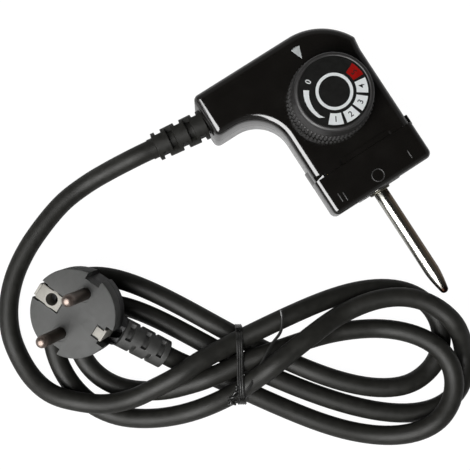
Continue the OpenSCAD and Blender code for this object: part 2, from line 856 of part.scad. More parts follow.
module switched_wire() color("#6d4423")
    wire([[base_w / 2 + fit_gap, base_front + base_len / 2, 0],
        [wire_side, base_front - wire_r, -wire_rise], [wire_side, knob_y - boss_step, -wire_rise],
        [wire_side + wire_r, arm_front, -wire_r], [socket_x, socket_back + wire_r, 0],
        [socket_x, socket_back - screw_in + wire_r, 0]], wire_r, [1, 0, 0], [0, -1, 0]);

module neutral_wire() color("#2f5fa0")
    wire([[core_end, neck_y - wire_spread, wire_r], [core_end + wire_lead, neck_y - wire_rise, 0],
        [-wire_side - wire_lead, base_front, -2 * wire_rise], [-wire_side, knob_y, -2 * wire_rise],
        [-wire_side, knob_y - boss_step, -2 * wire_rise], [-wire_side - wire_r, arm_front, -wire_r],
        [-socket_x, socket_back + wire_r, 0], [-socket_x, socket_back - screw_in + wire_r, 0]],
        wire_r, [1, 0, 0], [0, -1, 0]);

module earth_wire() color("#8aa02c")
    wire([[core_end, neck_y, -wire_spread - fit_gap], [core_end + wire_lead, neck_y, -wire_rise],
        [-wire_side - wire_lead, base_front + wire_rise, -3 * wire_rise],
        [-wire_rise, knob_y + wire_rise, -3 * wire_rise], [0, knob_y - boss_step, -3 * wire_rise],
        [0, arm_front, -3 * wire_rise], [0, arm_front - wire_lead, strip_z - wire_r]], wire_r,
        [1, 0, 0], [0, -1, 0]);

// A round bar through the neck, and a slightly thinner length from inside its end that bends with the relief
module bent_bar(r, inside, outside) {
    translate([bend_x, neck_y, 0]) {
        rotate([0, 90, 0])
            cylinder(r = r, h = inside, $fn = fine);
        rotate([0, 0, -relief_bend])
            rotate([0, -90, 0])
                translate([0, 0, -bend_lap])
                    cylinder(r = r - bend_step, h = outside + bend_lap, $fn = fine);
    }
}

// End of the sheathed cord inside the relief and the neck
module cord_core() color("#1e1d1d")
    bent_bar(cord_r - fit_gap, core_end - bend_x, relief_run);

module cord_clamp() color("#d8d2c4")
    difference() {
        translate([clamp_x - clamp_w / 2, neck_y - clamp_reach, fit_gap])
            cube([clamp_w, 2 * clamp_reach, clamp_h]);
        translate([clamp_x - clamp_w / 2 - over, neck_y, 0])
            rotate([0, 90, 0])
                cylinder(r = cord_r + fit_gap, h = clamp_w + 2 * over, $fn = fine);
        for (side = [-1, 1])
            translate([clamp_x, neck_y + side * clamp_screw_y, -over])
                cylinder(r = screw_r + fit_gap, h = clamp_h + 2 * over, $fn = coarse);
    }

module clamp_screws() color("#b5b5b0")
    for (side = [-1, 1])
        translate([clamp_x, neck_y + side * clamp_screw_y, in_floor / 2 + seat_gap]) {
            cylinder(r = screw_r, h = clamp_h - in_floor / 2, $fn = coarse);
            translate([0, 0, clamp_h + fit_gap - in_floor / 2 - seat_gap])
                cylinder(r = screw_r + clamp_head_out, h = screw_head_h, $fn = coarse);
        }

module case_screws() color("#9a9a96")
    for (p = case_screw_places)
        translate([p[0], p[1], floor_z + sink_depth]) {
            translate([0, 0, -screw_head_h / 2])
                cylinder(r = screw_r, h = probe_h - sink_depth + in_top / 2 - over, $fn = coarse);
            translate([0, 0, -screw_head_h - fit_gap])
                cylinder(r = screw_head_r, h = screw_head_h, $fn = coarse);
        }

// Rings and grooves of a relief that stands on zero, each ring a little smaller than the last
module relief_rings(r, length, count, fall) {
    block = length / count;
    for (i = [0 : count - 1])
        translate([0, 0, block * (i + groove_share)])
            cylinder(r = r - i * fall, h = block * (1 - groove_share), $fn = fine);
}

// Ribbed sleeve: a root inside the wall, a flange against it, then rings and grooves
module strain_relief() color("#232221") {
    difference() {
        union() {
            translate([-neck_reach, neck_y, 0])
                rotate([0, -90, 0]) {
                    translate([0, 0, -relief_root])
                        cylinder(r = relief_root_r, h = relief_root + 2 * seat_gap, $fn = fine);
                    translate([0, 0, -relief_root])
                        cylinder(r = relief_r, h = relief_root - wall - seat_gap, $fn = fine);
                    translate([0, 0, seat_gap])
                        cylinder(r = relief_r, h = relief_flange, $fn = fine);
                }
            translate([bend_x, neck_y, 0])
                rotate([0, 0, -relief_bend])
                    rotate([0, -90, 0]) {
                        translate([0, 0, -relief_flange / 2])
                            cylinder(r = relief_root_r, h = relief_run + relief_flange / 2, $fn = fine);
                        relief_rings(relief_r, relief_run, relief_ribs, rib_fall);
                    }
        }
        bent_bar(cord_r + bend_step, relief_root + relief_flange + 2 * over, relief_run + over);
    }
}

module cord_lead() color("#1f1e1e")
    tube(concat([relief_end], above_table(lead_route), [hank_start]),
        cord_r, cord_sides, relief_dir, hank_in_dir);

module cord_hank() color("#201f1f")
    tube(concat([hank_start], hank_points, [hank_end]),
        cord_r, hank_sides, hank_in_dir, hank_out_dir);

module cord_tail() color("#1f1e1e")
    tube(concat([hank_end], above_table(tail_route), [plug_exit]),
        cord_r, cord_sides, hank_out_dir, -plug_exit_dir);

// Rounded rectangle round both bundles, in the plane across the loops
module tie_outline(grow) {
    low = floor_z + tie_t - grow;
    hull()
        for (x = [tie_low, tie_side])
            for (z = [low, tie_top])
                translate([x + (x < 0 ? tie_round - grow : grow - tie_round),
                    z + (z == low ? tie_round : grow - tie_round)])
                    circle(r = tie_round, $fn = coarse);
}

module twist_tie() color("#2a2a2a")
    translate([waist[0], waist[1], 0])
        rotate([0, 0, waist_turn]) {
            for (x = [-tie_space / 2, tie_space / 2])
                translate([x - tie_t / 2, 0, 0])
                    rotate([90, 0, 90])
                        linear_extrude(tie_t)
                            difference() {
                                tie_outline(tie_t);
                                tie_outline(0);
                            }
            translate([-tie_space / 2 - tie_t, -tie_t, tie_top + tie_t / 2])
                cube([tie_space + 2 * tie_t, 2 * tie_t, tie_t]);
            translate([0, 0, tie_top + tie_t])
                rotate([0, 0, tie_turn])
                    translate([0, -tie_tail_w / 2, 0])
                        cube([tie_tail_len, tie_tail_w, tie_t / 2]);
        }

// Everything of the plug is drawn in its own frame: face at zero, pins up, earth hole at +Y
module on_plug() {
    translate(plug_at)
        rotate([0, -plug_tilt, 0])
            rotate([0, 0, plug_turn])
                children();
}

// Grooves at the ends of the pin line and notches at the side contacts
module plug_cuts() {
    for (side = [-1, 1]) {
        translate([side * (face_r - groove_depth / 2 + over) - groove_depth / 2 - over,
            -groove_w / 2, -plug_depth])
            cube([groove_depth + 2 * over, groove_w, 2 * plug_depth]);
        translate([-notch_w / 2,
            side * (face_r - notch_depth / 2 + over) - notch_depth / 2 - over, -clip_deep - clip_thick])
            cube([notch_w, notch_depth + 2 * over, 2 * plug_depth]);
    }
}

module plug_outlet(r, from, to, grow) {
    translate([0, 0, -outlet_from])
        rotate([90 + outlet_slope, 0, 0])
            translate([0, 0, from])
                cylinder(r1 = r + grow, r2 = r, h = to - from, $fn = fine);
}

module plug_body() color("#1c1b1b")
    on_plug()
        difference() {
            union() {
                rotate_extrude($fn = fine * 2)
                    polygon([[0, -insert_depth],
                        [face_r, -insert_depth],
                        [face_r - pin_step, -insert_depth - shell_drop],
                        [(face_r + back_r) / 2 + bulge, -plug_depth + bulge_up],
                        [back_r + shell_t, -plug_depth + shell_t],
                        [back_r, -plug_depth],
                        [0, -plug_depth]]);
                plug_outlet(outlet_r, face_r / 2, outlet_start, outlet_flare);
            }
            translate([0, 0, -insert_depth])
                cylinder(r = face_r + over, h = plug_depth, $fn = fine);
            plug_cuts();
            translate([0, 0, -plug_depth + plug_wall])
                cylinder(r = back_r - shell_t, h = plug_depth, $fn = fine);
            for (side = [-1, 1])
                translate([side * plug_pin_gap / 2, 0, -pin_root - bridge_t - seat_gap])
                    cylinder(r = plug_pin_r + seat_gap, h = plug_depth, $fn = fine);
            translate([0, earth_hole_y, -earth_deep - seat_gap])
                cylinder(r = sleeve_r + seat_gap, h = plug_depth, $fn = fine);
            plug_outlet(cord_r, 0, outlet_start + over, 0);
        }

module plug_face() color("#4a4b4d")
    on_plug()
        difference() {
            translate([0, 0, -insert_depth])
                cylinder(r = face_r, h = insert_depth, $fn = fine * 2);
            plug_cuts();
            for (side = [-1, 1])
                translate([side * plug_pin_gap / 2, 0, -insert_depth - over])
                    cylinder(r = pin_root_r + fit_gap, h = insert_depth + 2 * over, $fn = fine);
            translate([0, earth_hole_y, -insert_depth - over])
                cylinder(r = sleeve_r + fit_gap, h = insert_depth + 2 * over, $fn = fine);
            translate([-plate_w / 2 - fit_gap, earth_hole_y - plate_lap - fit_gap, -plate_t])
                cube([plate_w + 2 * fit_gap, face_r, plate_t + over]);
            translate([-clip_w / 2 - fit_gap, -face_r + notch_depth - over, -plate_t])
                cube([clip_w + 2 * fit_gap, tab_len + over + fit_gap, plate_t + over]);
        }

module plug_pins() color("#d2cdc2")
    on_plug()
        for (side = [-1, 1])
            translate([side * plug_pin_gap / 2, 0, 0]) {
                cylinder(r = plug_pin_r, h = plug_pin_len - pin_round, $fn = fine);
                round_tip(plug_pin_r, plug_pin_len, pin_round);
                translate([0, 0, -pin_root - bridge_t])
                    cylinder(r = pin_root_r, h = pin_root + bridge_t + over, $fn = fine);
            }

module pin_bridge() color("#c9c1ae")
    on_plug()
        difference() {
            translate([0, 0, -pin_root - fit_gap])
                intersection() {
                    cylinder(r = back_r - shell_t - fit_gap, h = pin_root - insert_depth, $fn = fine);
                    translate([-back_r, -bridge_w / 2, 0])
                        cube([2 * back_r, bridge_w, pin_root]);
                }
            for (side = [-1, 1])
                translate([side * plug_pin_gap / 2, 0, -pin_root - over])
                    cylinder(r = pin_root_r + fit_gap, h = pin_root, $fn = fine);
        }

module pin_crimps() color("#b99b54")
    on_plug()
        for (side = [-1, 1])
            translate([side * (plug_pin_gap / 2 - crimp_in), 0, crimp_z])
                cylinder(r = wire_r + crimp_wall, h = crimp_len, $fn = coarse);

module earth_plate() color("#d6d7d5")
    on_plug()
        difference() {
            union() {
                translate([-plate_w / 2, earth_hole_y - plate_lap, -plate_t + fit_gap])
                    cube([plate_w, face_r - earth_hole_y + plate_lap - clip_thick - clip_inset, plate_t]);
                translate([0, earth_hole_y, -earth_deep])
                    cylinder(r = sleeve_r, h = earth_deep, $fn = fine);
            }
            translate([0, earth_hole_y, plate_t - earth_deep])
                cylinder(r = earth_bore_r, h = earth_deep + over, $fn = fine);
        }

module earth_clips() color("#d6d7d5")
    on_plug() {
        translate([-clip_w / 2, face_r - clip_thick - clip_inset + fit_gap, -clip_deep])
            cube([clip_w, clip_thick, clip_deep + fit_gap]);
        translate([-clip_w / 2, -face_r + notch_depth - clip_thick, -clip_deep])
            cube([clip_w, clip_thick, clip_deep + fit_gap]);
        translate([-clip_w / 2, -face_r + notch_depth - fit_gap, -plate_t + fit_gap])
            cube([clip_w, tab_len, plate_t]);
    }

module plug_wires() color("#6d4423")
    on_plug() {
        for (side = [-1, 1])
            wire([[side * crimp_in, sheath_y, -plug_depth + 7 * wire_r],
                [side * wire_rise, sheath_y / 2 - crimp_in, crimp_z + wire_r],
                [side * (plug_pin_gap / 2 - crimp_in), -cord_r + seat_gap, crimp_z + wire_r],
                [side * (plug_pin_gap / 2 - crimp_in), -2 * wire_r, crimp_z + wire_r]],
                wire_r * inner_share, [0, 1, 0], [0, 1, 0]);
        wire([[0, sheath_y, -plug_depth + 5 * wire_r], [0, 0, -earth_deep],
            [0, earth_hole_y / 2, -earth_deep + wire_r],
            [0, earth_hole_y - sleeve_r - 2 * fit_gap, -earth_deep + 2 * wire_r]],
            wire_r * inner_share, [0, 1, 0], [0, 1, 0]);
    }

module plug_relief() color("#232222")
    on_plug()
        translate([0, 0, -outlet_from])
            rotate([90 + outlet_slope, 0, 0])
                translate([0, 0, outlet_start])
                    difference() {
                        union() {
                            cylinder(r = relief_root_r, h = plug_relief_len, $fn = fine);
                            relief_rings(plug_relief_r, plug_relief_len, relief_blocks, plug_rib_fall);
                        }
                        translate([0, 0, -over])
                            cylinder(r = cord_r - fit_gap, h = plug_relief_len - over, $fn = fine);
                    }

upper_case();
lower_case();
connector_shroud();
pointer_mark();
knob();
dial_disc();
dial_white_print();
dial_red_print();
spindle();
spindle_clip();
spindle_bush();
thermostat_frame();
contact_base();
fixed_contact_arm();
moving_contact_arm();
adjusting_pin();
probe_tube();
probe_bush();
expansion_rod();
contact_carrier();
live_socket();
neutral_socket();
socket_screws();
earth_strip();
live_wire();
switched_wire();
neutral_wire();
earth_wire();
cord_core();
cord_clamp();
clamp_screws();
case_screws();
strain_relief();
cord_lead();
cord_hank();
cord_tail();
twist_tie();
plug_body();
plug_face();
plug_pins();
pin_bridge();
pin_crimps();
earth_plate();
earth_clips();
plug_wires();
plug_relief();
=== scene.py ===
"""Looks of a griddle thermostat cord: a gloss black control head with a steel probe, a rubber cord
tied in a figure-eight hank, and an angled mains plug. Lengths are typed in millimetres and scaled to
metres where meshes are made."""
import json
import math

import bpy
from mathutils import Matrix, Vector


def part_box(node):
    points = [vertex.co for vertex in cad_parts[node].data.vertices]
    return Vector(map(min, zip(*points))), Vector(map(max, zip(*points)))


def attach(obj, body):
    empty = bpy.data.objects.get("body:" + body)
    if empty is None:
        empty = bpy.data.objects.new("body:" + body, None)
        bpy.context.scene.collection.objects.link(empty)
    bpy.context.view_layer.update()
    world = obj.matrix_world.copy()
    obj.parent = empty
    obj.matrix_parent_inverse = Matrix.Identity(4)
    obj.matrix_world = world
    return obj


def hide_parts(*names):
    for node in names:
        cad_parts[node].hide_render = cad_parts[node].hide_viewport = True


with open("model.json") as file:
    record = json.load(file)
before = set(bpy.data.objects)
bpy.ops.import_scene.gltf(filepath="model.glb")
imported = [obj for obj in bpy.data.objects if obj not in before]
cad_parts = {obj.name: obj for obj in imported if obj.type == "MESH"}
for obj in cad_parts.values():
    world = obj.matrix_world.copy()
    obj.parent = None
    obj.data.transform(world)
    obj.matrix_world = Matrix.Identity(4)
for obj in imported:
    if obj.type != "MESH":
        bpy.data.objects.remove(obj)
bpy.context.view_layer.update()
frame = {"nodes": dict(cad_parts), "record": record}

MM = 0.001


def box_mm(node):
    """Lowest and highest corner of a node, in millimetres."""
    low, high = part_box(node)
    return low / MM, high / MM


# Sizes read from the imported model
case_low, case_high = box_mm("upper_case")
CASE_TOP = case_high.z
CASE_LEN = case_high.y
CASE_FRONT = case_low.y
NECK_REACH = -case_low.x
SHOULDER_X = case_high.x
FLOOR_Z = box_mm("lower_case")[0].z
knob_low, knob_high = box_mm("knob")
KNOB_Y = (knob_low.y + knob_high.y) / 2
KNOB_R = knob_high.y - KNOB_Y
KNOB_Z = knob_low.z
KNOB_H = knob_high.z - knob_low.z
PROBE_TIP = -box_mm("probe_tube")[0].y

# Sizes that the solids also follow
BODY_X = 21.4
SHROUD_X = 22.6
SHROUD_LEN = 16
SOCKET_X = 13
NECK_W = 19
NECK_Y = CASE_LEN - NECK_W / 2
NECK_EDGE = CASE_LEN - NECK_W
REAR_R = 26
ARC_Y = CASE_LEN - REAR_R
SHOULDER_Y = ARC_Y + math.sqrt(REAR_R ** 2 - SHOULDER_X ** 2)
SHOULDER_DROP = 5.25
FILLET_R = 15.5
WALL = 2.2
CORD_R = 4
RELIEF_BEND = math.radians(7)
RELIEF_RUN = 22.7
BEND_OUT = 2.3
BEND_X = -NECK_REACH - BEND_OUT
PLUG_AT = Vector((-131.6, 23.9, FLOOR_Z + 31))
PLUG_TURN = math.radians(23)
PLUG_TILT = math.radians(16)
FACE_R = 17.8
PLUG_DEPTH = 20
INSERT_DEPTH = 6
OUTLET_SLOPE = math.radians(24)
OUTLET_FROM = 9
OUTLET_START = 18.5
PLUG_RELIEF_LEN = 21
PIN_GAP = 19
EARTH_Y = 10


# Camera, where the photograph was taken from
CAMERA_EYE = Vector((-83.5, -0.6, 385.5))
CAMERA_ROLL = math.radians(-32.7)
CAMERA_TURN = Matrix(((0.9996, -0.0009, -0.0265), (-0.0009, 0.9976, -0.069), (0.0265, 0.069, 0.9973)))


def add_camera():
    data = bpy.data.cameras.new("photo_camera")
    data.lens = 72
    data.sensor_width = 36
    data.clip_start = 0.01
    data.clip_end = 100
    camera = link("photo_camera", data)
    camera.matrix_world = (Matrix.Translation(CAMERA_EYE * MM)
                           @ Matrix.Rotation(CAMERA_ROLL, 4, "Z")
                           @ CAMERA_TURN.to_4x4())
    bpy.context.scene.camera = camera


# Cord route, as the solids have it
WAIST = Vector((-87, -29))
WAIST_TURN = math.radians(-32.7)
REST_Z = FLOOR_Z + CORD_R
LAYER = 8.8
# Each lobe: its side, the slots where it starts and ends, reach, half width, shift, lean
LOBES = [
    (1, 9.9, 9.9, 85.1, 20.7, 0.2, 0),
    (-1, 9.9, -10.8, 78.5, 20.8, 16, 0),
    (1, -10.8, 0, 92.4, 26.8, 15.2, -11),
    (-1, 0, 0, 68, 16.9, 12.4, 0),
    (1, 0, -10.8, 87.5, 18, -6.5, 4)]
# Heights of each lobe, as (share of its run, layers above the table)
LOBE_HEIGHTS = [
    [(0, 1.18), (0.06, 1.18), (0.22, 0), (0.62, 0), (0.72, 0.3), (0.86, 0.3), (0.94, 0.08), (1, 0.18)],
    [(0, 0.18), (0.12, 0), (0.82, 0), (0.96, 1.18), (1, 1.18)],
    [(0, 1.18), (0.06, 2.1), (0.11, 1.95), (0.2, 1.05), (0.44, 1), (0.56, 0), (0.9, 0), (1, 0.18)],
    [(0, 0.18), (0.12, 0), (0.78, 0), (0.88, 0.7), (0.94, 1.18), (1, 1.18)],
    [(0, 1.18), (0.04, 1.18), (0.14, 0), (0.2, 0), (0.37, 1.05), (0.58, 1.05), (0.8, 0), (0.9, 0),
     (1, 0.18)]]
LEAD_ROUTE = [(-79, 65.8, 13.8), (-90, 67.5, 9), (-101, 68.5, 4.8), (-113, 67.5, 4), (-126, 63.5, 4),
              (-138, 58, 4), (-148, 51, 4), (-156, 42, 4), (-161, 32, 4), (-163, 21, 4),
              (-162.3, 11, 5.8), (-158.5, 2, 9.4), (-151, -6, 12.8), (-142, -13, 13.4),
              (-132, -17, 13.8), (-121, -18.5, 16.5), (-110, -19.3, 19.6), (-101, -19, 19)]
TAIL_ROUTE = [(-102.4, -23.8, 4.8), (-107.2, -16.2, 8)]
LOBE_POINTS = 72
SPLINE_STEPS = 6
CORD_SIDES = 32


def ease(t):
    return t * t * (3 - 2 * t)


def height_share(table, t):
    """Eased height at a share of the run, between the table's pairs."""
    for (t0, h0), (t1, h1) in zip(table, table[1:]):
        if t <= t1:
            return h0 + (h1 - h0) * ease((t - t0) / (t1 - t0))
    return table[-1][1]


def hank_xy(along, across):
    """A point of the hank's frame in the part's own frame."""
    turn = Matrix.Rotation(WAIST_TURN, 2)
    return WAIST + turn @ Vector((along, across))


def lobe_point(k, t):
    side, b_in, b_out, reach, half, shift, lean = LOBES[k]
    half_turn = math.sin(math.pi * t)
    full_turn = math.sin(2 * math.pi * t)
    along = side * reach * half_turn + lean * full_turn
    across = b_in + (b_out - b_in) * ease(t) + shift * half_turn ** 2 + half * full_turn
    xy = hank_xy(along, across)
    return Vector((xy.x, xy.y, REST_Z + LAYER * height_share(LOBE_HEIGHTS[k], t)))


def hank_points():
    points = [lobe_point(k, i / LOBE_POINTS) for k in range(len(LOBES)) for i in range(LOBE_POINTS)]
    return points + [lobe_point(len(LOBES) - 1, 1)]


def above_table(route):
    return [Vector((x, y, z + FLOOR_Z)) for x, y, z in route]


def smooth_run(points):
    """Points on a smooth curve through the given ones, spaced by their own distances."""
    ends = [2 * points[0] - points[1]] + list(points) + [2 * points[-1] - points[-2]]
    out = []
    for i in range(1, len(ends) - 2):
        p0, p1, p2, p3 = ends[i - 1:i + 3]
        d1 = (p1 - p0).length ** 0.5
        d2 = (p2 - p1).length ** 0.5
        d3 = (p3 - p2).length ** 0.5
        m1 = (p2 - p1) + d2 * ((p1 - p0) / d1 - (p2 - p0) / (d1 + d2))
        m2 = (p2 - p1) + d2 * ((p3 - p2) / d3 - (p3 - p1) / (d2 + d3))
        for k in range(SPLINE_STEPS):
            t = k / SPLINE_STEPS
            out.append((2 * t ** 3 - 3 * t ** 2 + 1) * p1 + (t ** 3 - 2 * t ** 2 + t) * m1
                       + (3 * t ** 2 - 2 * t ** 3) * p2 + (t ** 3 - t ** 2) * m2)
    return out + [points[-1]]


def plug_matrix():
    """From the plug's own frame to the part's: face at zero, pins up, earth hole at +Y."""
    return at(*PLUG_AT) @ Matrix.Rotation(-PLUG_TILT, 4, "Y") @ Matrix.Rotation(PLUG_TURN, 4, "Z")


def outlet_matrix():
    """From the cord outlet's frame, along its +Z, to the part's."""
    return plug_matrix() @ at(0, 0, -OUTLET_FROM) @ Matrix.Rotation(math.pi / 2 + OUTLET_SLOPE, 4, "X")


def relief_matrix():
    """From the head relief's frame, along its +Z, to the part's."""
    return at(BEND_X, NECK_Y) @ Matrix.Rotation(-RELIEF_BEND, 4, "Z") @ Matrix.Rotation(-math.pi / 2, 4, "Y")


def cord_points():
    """The whole route, from the relief's end to the plug relief's end."""
    start, start_on = [relief_matrix() @ Vector((0, 0, RELIEF_RUN + more)) for more in (0, CORD_R)]
    end, end_on = [outlet_matrix() @ Vector((0, 0, OUTLET_START + PLUG_RELIEF_LEN + more))
                   for more in (0, CORD_R)]
    hank = hank_points()
    lead = smooth_run([start, start_on] + above_table(LEAD_ROUTE) + [hank[0], hank[1]])
    tail = smooth_run([hank[-2], hank[-1]] + above_table(TAIL_ROUTE) + [end_on, end])
    return lead[:-SPLINE_STEPS - 1] + hank + tail[SPLINE_STEPS + 1:]


def heading(points, i):
    """Direction of a run of points at one of them."""
    return (points[min(i + 1, len(points) - 1)] - points[max(i - 1, 0)]).normalized()


def full_circle(count):
    """Even angles round a circle."""
    return [2 * math.pi * k / count for k in range(count)]


def tube(name, points, radius, sides):
    """A closed round tube along points, with a frame that turns as little as it can."""
    across = (points[1] - points[0]).orthogonal().normalized()
    rings = []
    for i, point in enumerate(points):
        along = heading(points, i)
        across = (across - along * across.dot(along)).normalized()
        other = along.cross(across)
        rings.append([point + across * (radius * math.cos(a)) + other * (radius * math.sin(a))
                      for a in full_circle(sides)])
    return loft(name, rings)


def add_cord():
    points = cord_points()
    cord = tube("mains_cord", points, CORD_R, CORD_SIDES)
    finish_piece(cord, "rubber_black", "cord_lead", "cord_hank", "cord_tail", sharp=60)
    length = sum((b - a).length for a, b in zip(points, points[1:])) * MM
    return cord, [list(point * MM) for point in points], length


# Mesh building


def at(x, y, z=0):
    """Matrix that moves to a place."""
    return Matrix.Translation((x, y, z))


def link(name, data):
    """A new object of the data, in the scene."""
    obj = bpy.data.objects.new(name, data)
    bpy.context.scene.collection.objects.link(obj)
    return obj


def link_mesh(name, verts, faces, matrix=None):
    """A new object from points in millimetres, placed by a matrix in millimetres."""
    mesh = bpy.data.meshes.new(name)
    placed = [(matrix @ Vector(v) if matrix else Vector(v)) * MM for v in verts]
    mesh.from_pydata(placed, [], faces)
    mesh.validate()
    return link(name, mesh)


def loft(name, rings, matrix=None, closed=False):
    """A solid through rings of equal count, with flat ends or with its last ring joined to its first."""
    count = len(rings[0])
    levels = len(rings)
    faces = [] if closed else [list(range(count))[::-1], [(levels - 1) * count + i for i in range(count)]]
    for level in range(levels if closed else levels - 1):
        low = level * count
        high = (level + 1) % levels * count
        for i in range(count):
            j = (i + 1) % count
            faces.append([low + i, low + j, high + j, high + i])
    return link_mesh(name, [v for ring in rings for v in ring], faces, matrix)


def gathered(name, parts):
    """One object of several meshes, each given with a matrix from its points to millimetres."""
    verts = []
    faces = []
    for mesh, place in parts:
        start = len(verts)
        verts += [tuple(place @ v.co) for v in mesh.vertices]
        faces += [[start + i for i in p.vertices] for p in mesh.polygons]
    return link_mesh(name, verts, faces)


def shown_mesh(obj):
    """A new mesh of the object as its modifiers leave it."""
    bpy.context.view_layer.update()
    return bpy.data.meshes.new_from_object(obj.evaluated_get(bpy.context.evaluated_depsgraph_get()))


def modify(obj, kind, **settings):
    """Gives an object a modifier and applies it."""
    modifier = obj.modifiers.new("change", kind)
    for name, value in settings.items():
        setattr(modifier, name, value)
    mesh = shown_mesh(obj)
    obj.modifiers.clear()
    obj.data = mesh


def combine(obj, tool, operation="DIFFERENCE"):
    """Cuts the tool from the object, or joins it, and removes the tool."""
    modify(obj, "BOOLEAN", operation=operation, object=tool, solver="EXACT")
    bpy.data.objects.remove(tool)


def merged(pieces):
    """The first of the pieces, with the others joined to it."""
    for piece in pieces[1:]:
        combine(pieces[0], piece, "UNION")
    return pieces[0]


def bevel_edges(obj, width):
    modify(obj, "BEVEL", width=width * MM, segments=2, limit_method="ANGLE",
           angle_limit=math.radians(40), use_clamp_overlap=True, miter_outer="MITER_ARC")


def finish_piece(obj, slot, *nodes, body="head", sharp=32, material=None):
    """Shades a piece smooth but for its sharp edges, gives it its material, hangs it on its body's empty and
    hides the solids it replaces.
    """
    for polygon in obj.data.polygons:
        polygon.use_smooth = True
    obj.data.set_sharp_from_angle(angle=math.radians(sharp))
    obj.data.materials.clear()
    obj.data.materials.append(MATERIALS[material or slot])
    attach(obj, body)
    if nodes:
        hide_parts(*nodes)
    return obj


def arc(centre, radius, start, end, steps):
    """Points of an arc, with its angles in degrees."""
    angles = [math.radians(start + (end - start) * i / steps) for i in range(steps + 1)]
    return [Vector((centre[0] + radius * math.cos(a), centre[1] + radius * math.sin(a))) for a in angles]


def circle(centre, radius, steps):
    return arc(centre, radius, 0, 360 - 360 / steps, steps - 1)


CORNER_STEPS = 8


def rounded(corners):
    """A closed outline from (x, y, radius) corners."""
    out = []
    for i, (x, y, radius) in enumerate(corners):
        here = Vector((x, y))
        if radius <= 0:
            out.append(here)
            continue
        a = (Vector(corners[i - 1][:2]) - here).normalized()
        b = (Vector(corners[(i + 1) % len(corners)][:2]) - here).normalized()
        half = a.angle(b) / 2
        centre = here + (a + b).normalized() * (radius / math.sin(half))
        first = here + a * (radius / math.tan(half)) - centre
        last = here + b * (radius / math.tan(half)) - centre
        start = math.atan2(first.y, first.x)
        turn = (math.atan2(last.y, last.x) - start + math.pi) % (2 * math.pi) - math.pi
        angles = [start + turn * k / CORNER_STEPS for k in range(CORNER_STEPS + 1)]
        out += [centre + radius * Vector((math.cos(a), math.sin(a))) for a in angles]
    return out


def inset(outline, depth):
    """A counterclockwise outline drawn in by a depth."""
    least_share = 0.3
    out = []
    for i, point in enumerate(outline):
        before = (point - outline[i - 1]).normalized()
        after = (outline[(i + 1) % len(outline)] - point).normalized()
        along = (before + after).normalized()
        inward = Vector((-along.y, along.x))
        share = max(least_share, inward.dot(Vector((-before.y, before.x))))
        out.append(point + inward * (depth / share))
    return out


def drawn_in(corners, depth):
    """Corners of an outline drawn in by a depth, with their radii changed to suit."""
    least_radius = 0.02
    out = []
    moved = inset([Vector((x, y)) for x, y, radius in corners], depth)
    for i, (x, y, radius) in enumerate(corners):
        before = Vector((x, y)) - Vector(corners[i - 1][:2])
        after = Vector(corners[(i + 1) % len(corners)][:2]) - Vector((x, y))
        convex = before.x * after.y - before.y * after.x > 0
        if radius > 0:
            radius = max(least_radius, radius - depth) if convex else radius + depth
        out.append((moved[i].x, moved[i].y, radius))
    return out


def stack(name, loops, matrix=None):
    """A closed solid through flat outlines of equal count, given as (outline, height)."""
    return loft(name, [[(p.x, p.y, z) for p in outline] for outline, z in loops], matrix)


EDGE_STEPS = 6
RIM = 0.35


def edge_loops(corners, z_side, z_face, radius):
    """Loops that round from a side into a face, ended by a loop just inside the face."""
    way = 1 if z_face > z_side else -1
    loops = [(rounded(corners), z_face - way * radius)]
    for i in range(1, EDGE_STEPS + 1):
        angle = math.pi / 2 * i / EDGE_STEPS
        loops.append((rounded(drawn_in(corners, radius * (1 - math.cos(angle)))),
                      z_face - way * radius * (1 - math.sin(angle))))
    loops.append((rounded(drawn_in(corners, radius + RIM)), z_face))
    return loops


def rounded_block(name, ends, low, high, low_r, high_r, groove=0.0):
    """A block between two outlines, given as corners, with rounded or slightly chamfered ends. A
    radius of zero leaves an end with a groove."""
    under, over = ends
    if low_r:
        loops = edge_loops(under, high, low, low_r)[::-1]
    else:
        loops = [(rounded(drawn_in(under, groove)), low), (rounded(under), low + groove)]
    if high_r:
        loops += edge_loops(over, low, high, high_r)
    else:
        loops += [(rounded(over), high - groove), (rounded(drawn_in(over, groove)), high)]
    return stack(name, loops)


def cuboid(name, low, high, matrix=None):
    outline = [Vector((low[0], low[1])), Vector((high[0], low[1])),
               Vector((high[0], high[1])), Vector((low[0], high[1]))]
    return stack(name, [(outline, low[2]), (outline, high[2])], matrix)


def mill(piece, low, high, matrix=None):
    """Cuts a box out of a piece."""
    combine(piece, cuboid("tool", low, high, matrix))


def drill(piece, radius, low, high, matrix=None, steps=64):
    """Cuts a round hole along the matrix's +Z."""
    outline = circle((0, 0), radius, steps)
    combine(piece, stack("tool", [(outline, low), (outline, high)], matrix))


TINY = 1e-6


def round_point(radius, angle, height):
    return (radius * math.cos(angle), radius * math.sin(angle), height)


def lathe(name, profile, segments=128, matrix=None, ribs=None):
    """Turns a closed profile of (radius, height) about +Z. Ribs, if given, change the radius."""
    count = len(profile)
    verts = [round_point(ribs(r, z, angle) if ribs else r, angle, z)
             for angle in full_circle(segments) for r, z in profile]
    faces = []
    for s in range(segments):
        a = s * count
        b = (s + 1) % segments * count
        for i in range(count):
            j = (i + 1) % count
            if profile[i][0] >= TINY or profile[j][0] >= TINY:
                faces.append([a + i, b + i, b + j, a + j])
    obj = link_mesh(name, verts, faces, matrix)
    weld(obj)
    return obj


def weld(obj):
    modify(obj, "WELD", merge_threshold=TINY)


def along_y(x):
    """Matrix whose +Z runs along the part's -Y through the given place."""
    return at(x, 0) @ Matrix.Rotation(math.pi / 2, 4, "X")


def along_x(y):
    """Matrix whose +Z runs along the part's -X through the given place."""
    return at(0, y) @ Matrix.Rotation(-math.pi / 2, 4, "Y")


# Materials

MATERIALS = {}
# Most of a noise value lies between these
NOISE_LOW = 0.3
NOISE_HIGH = 0.7


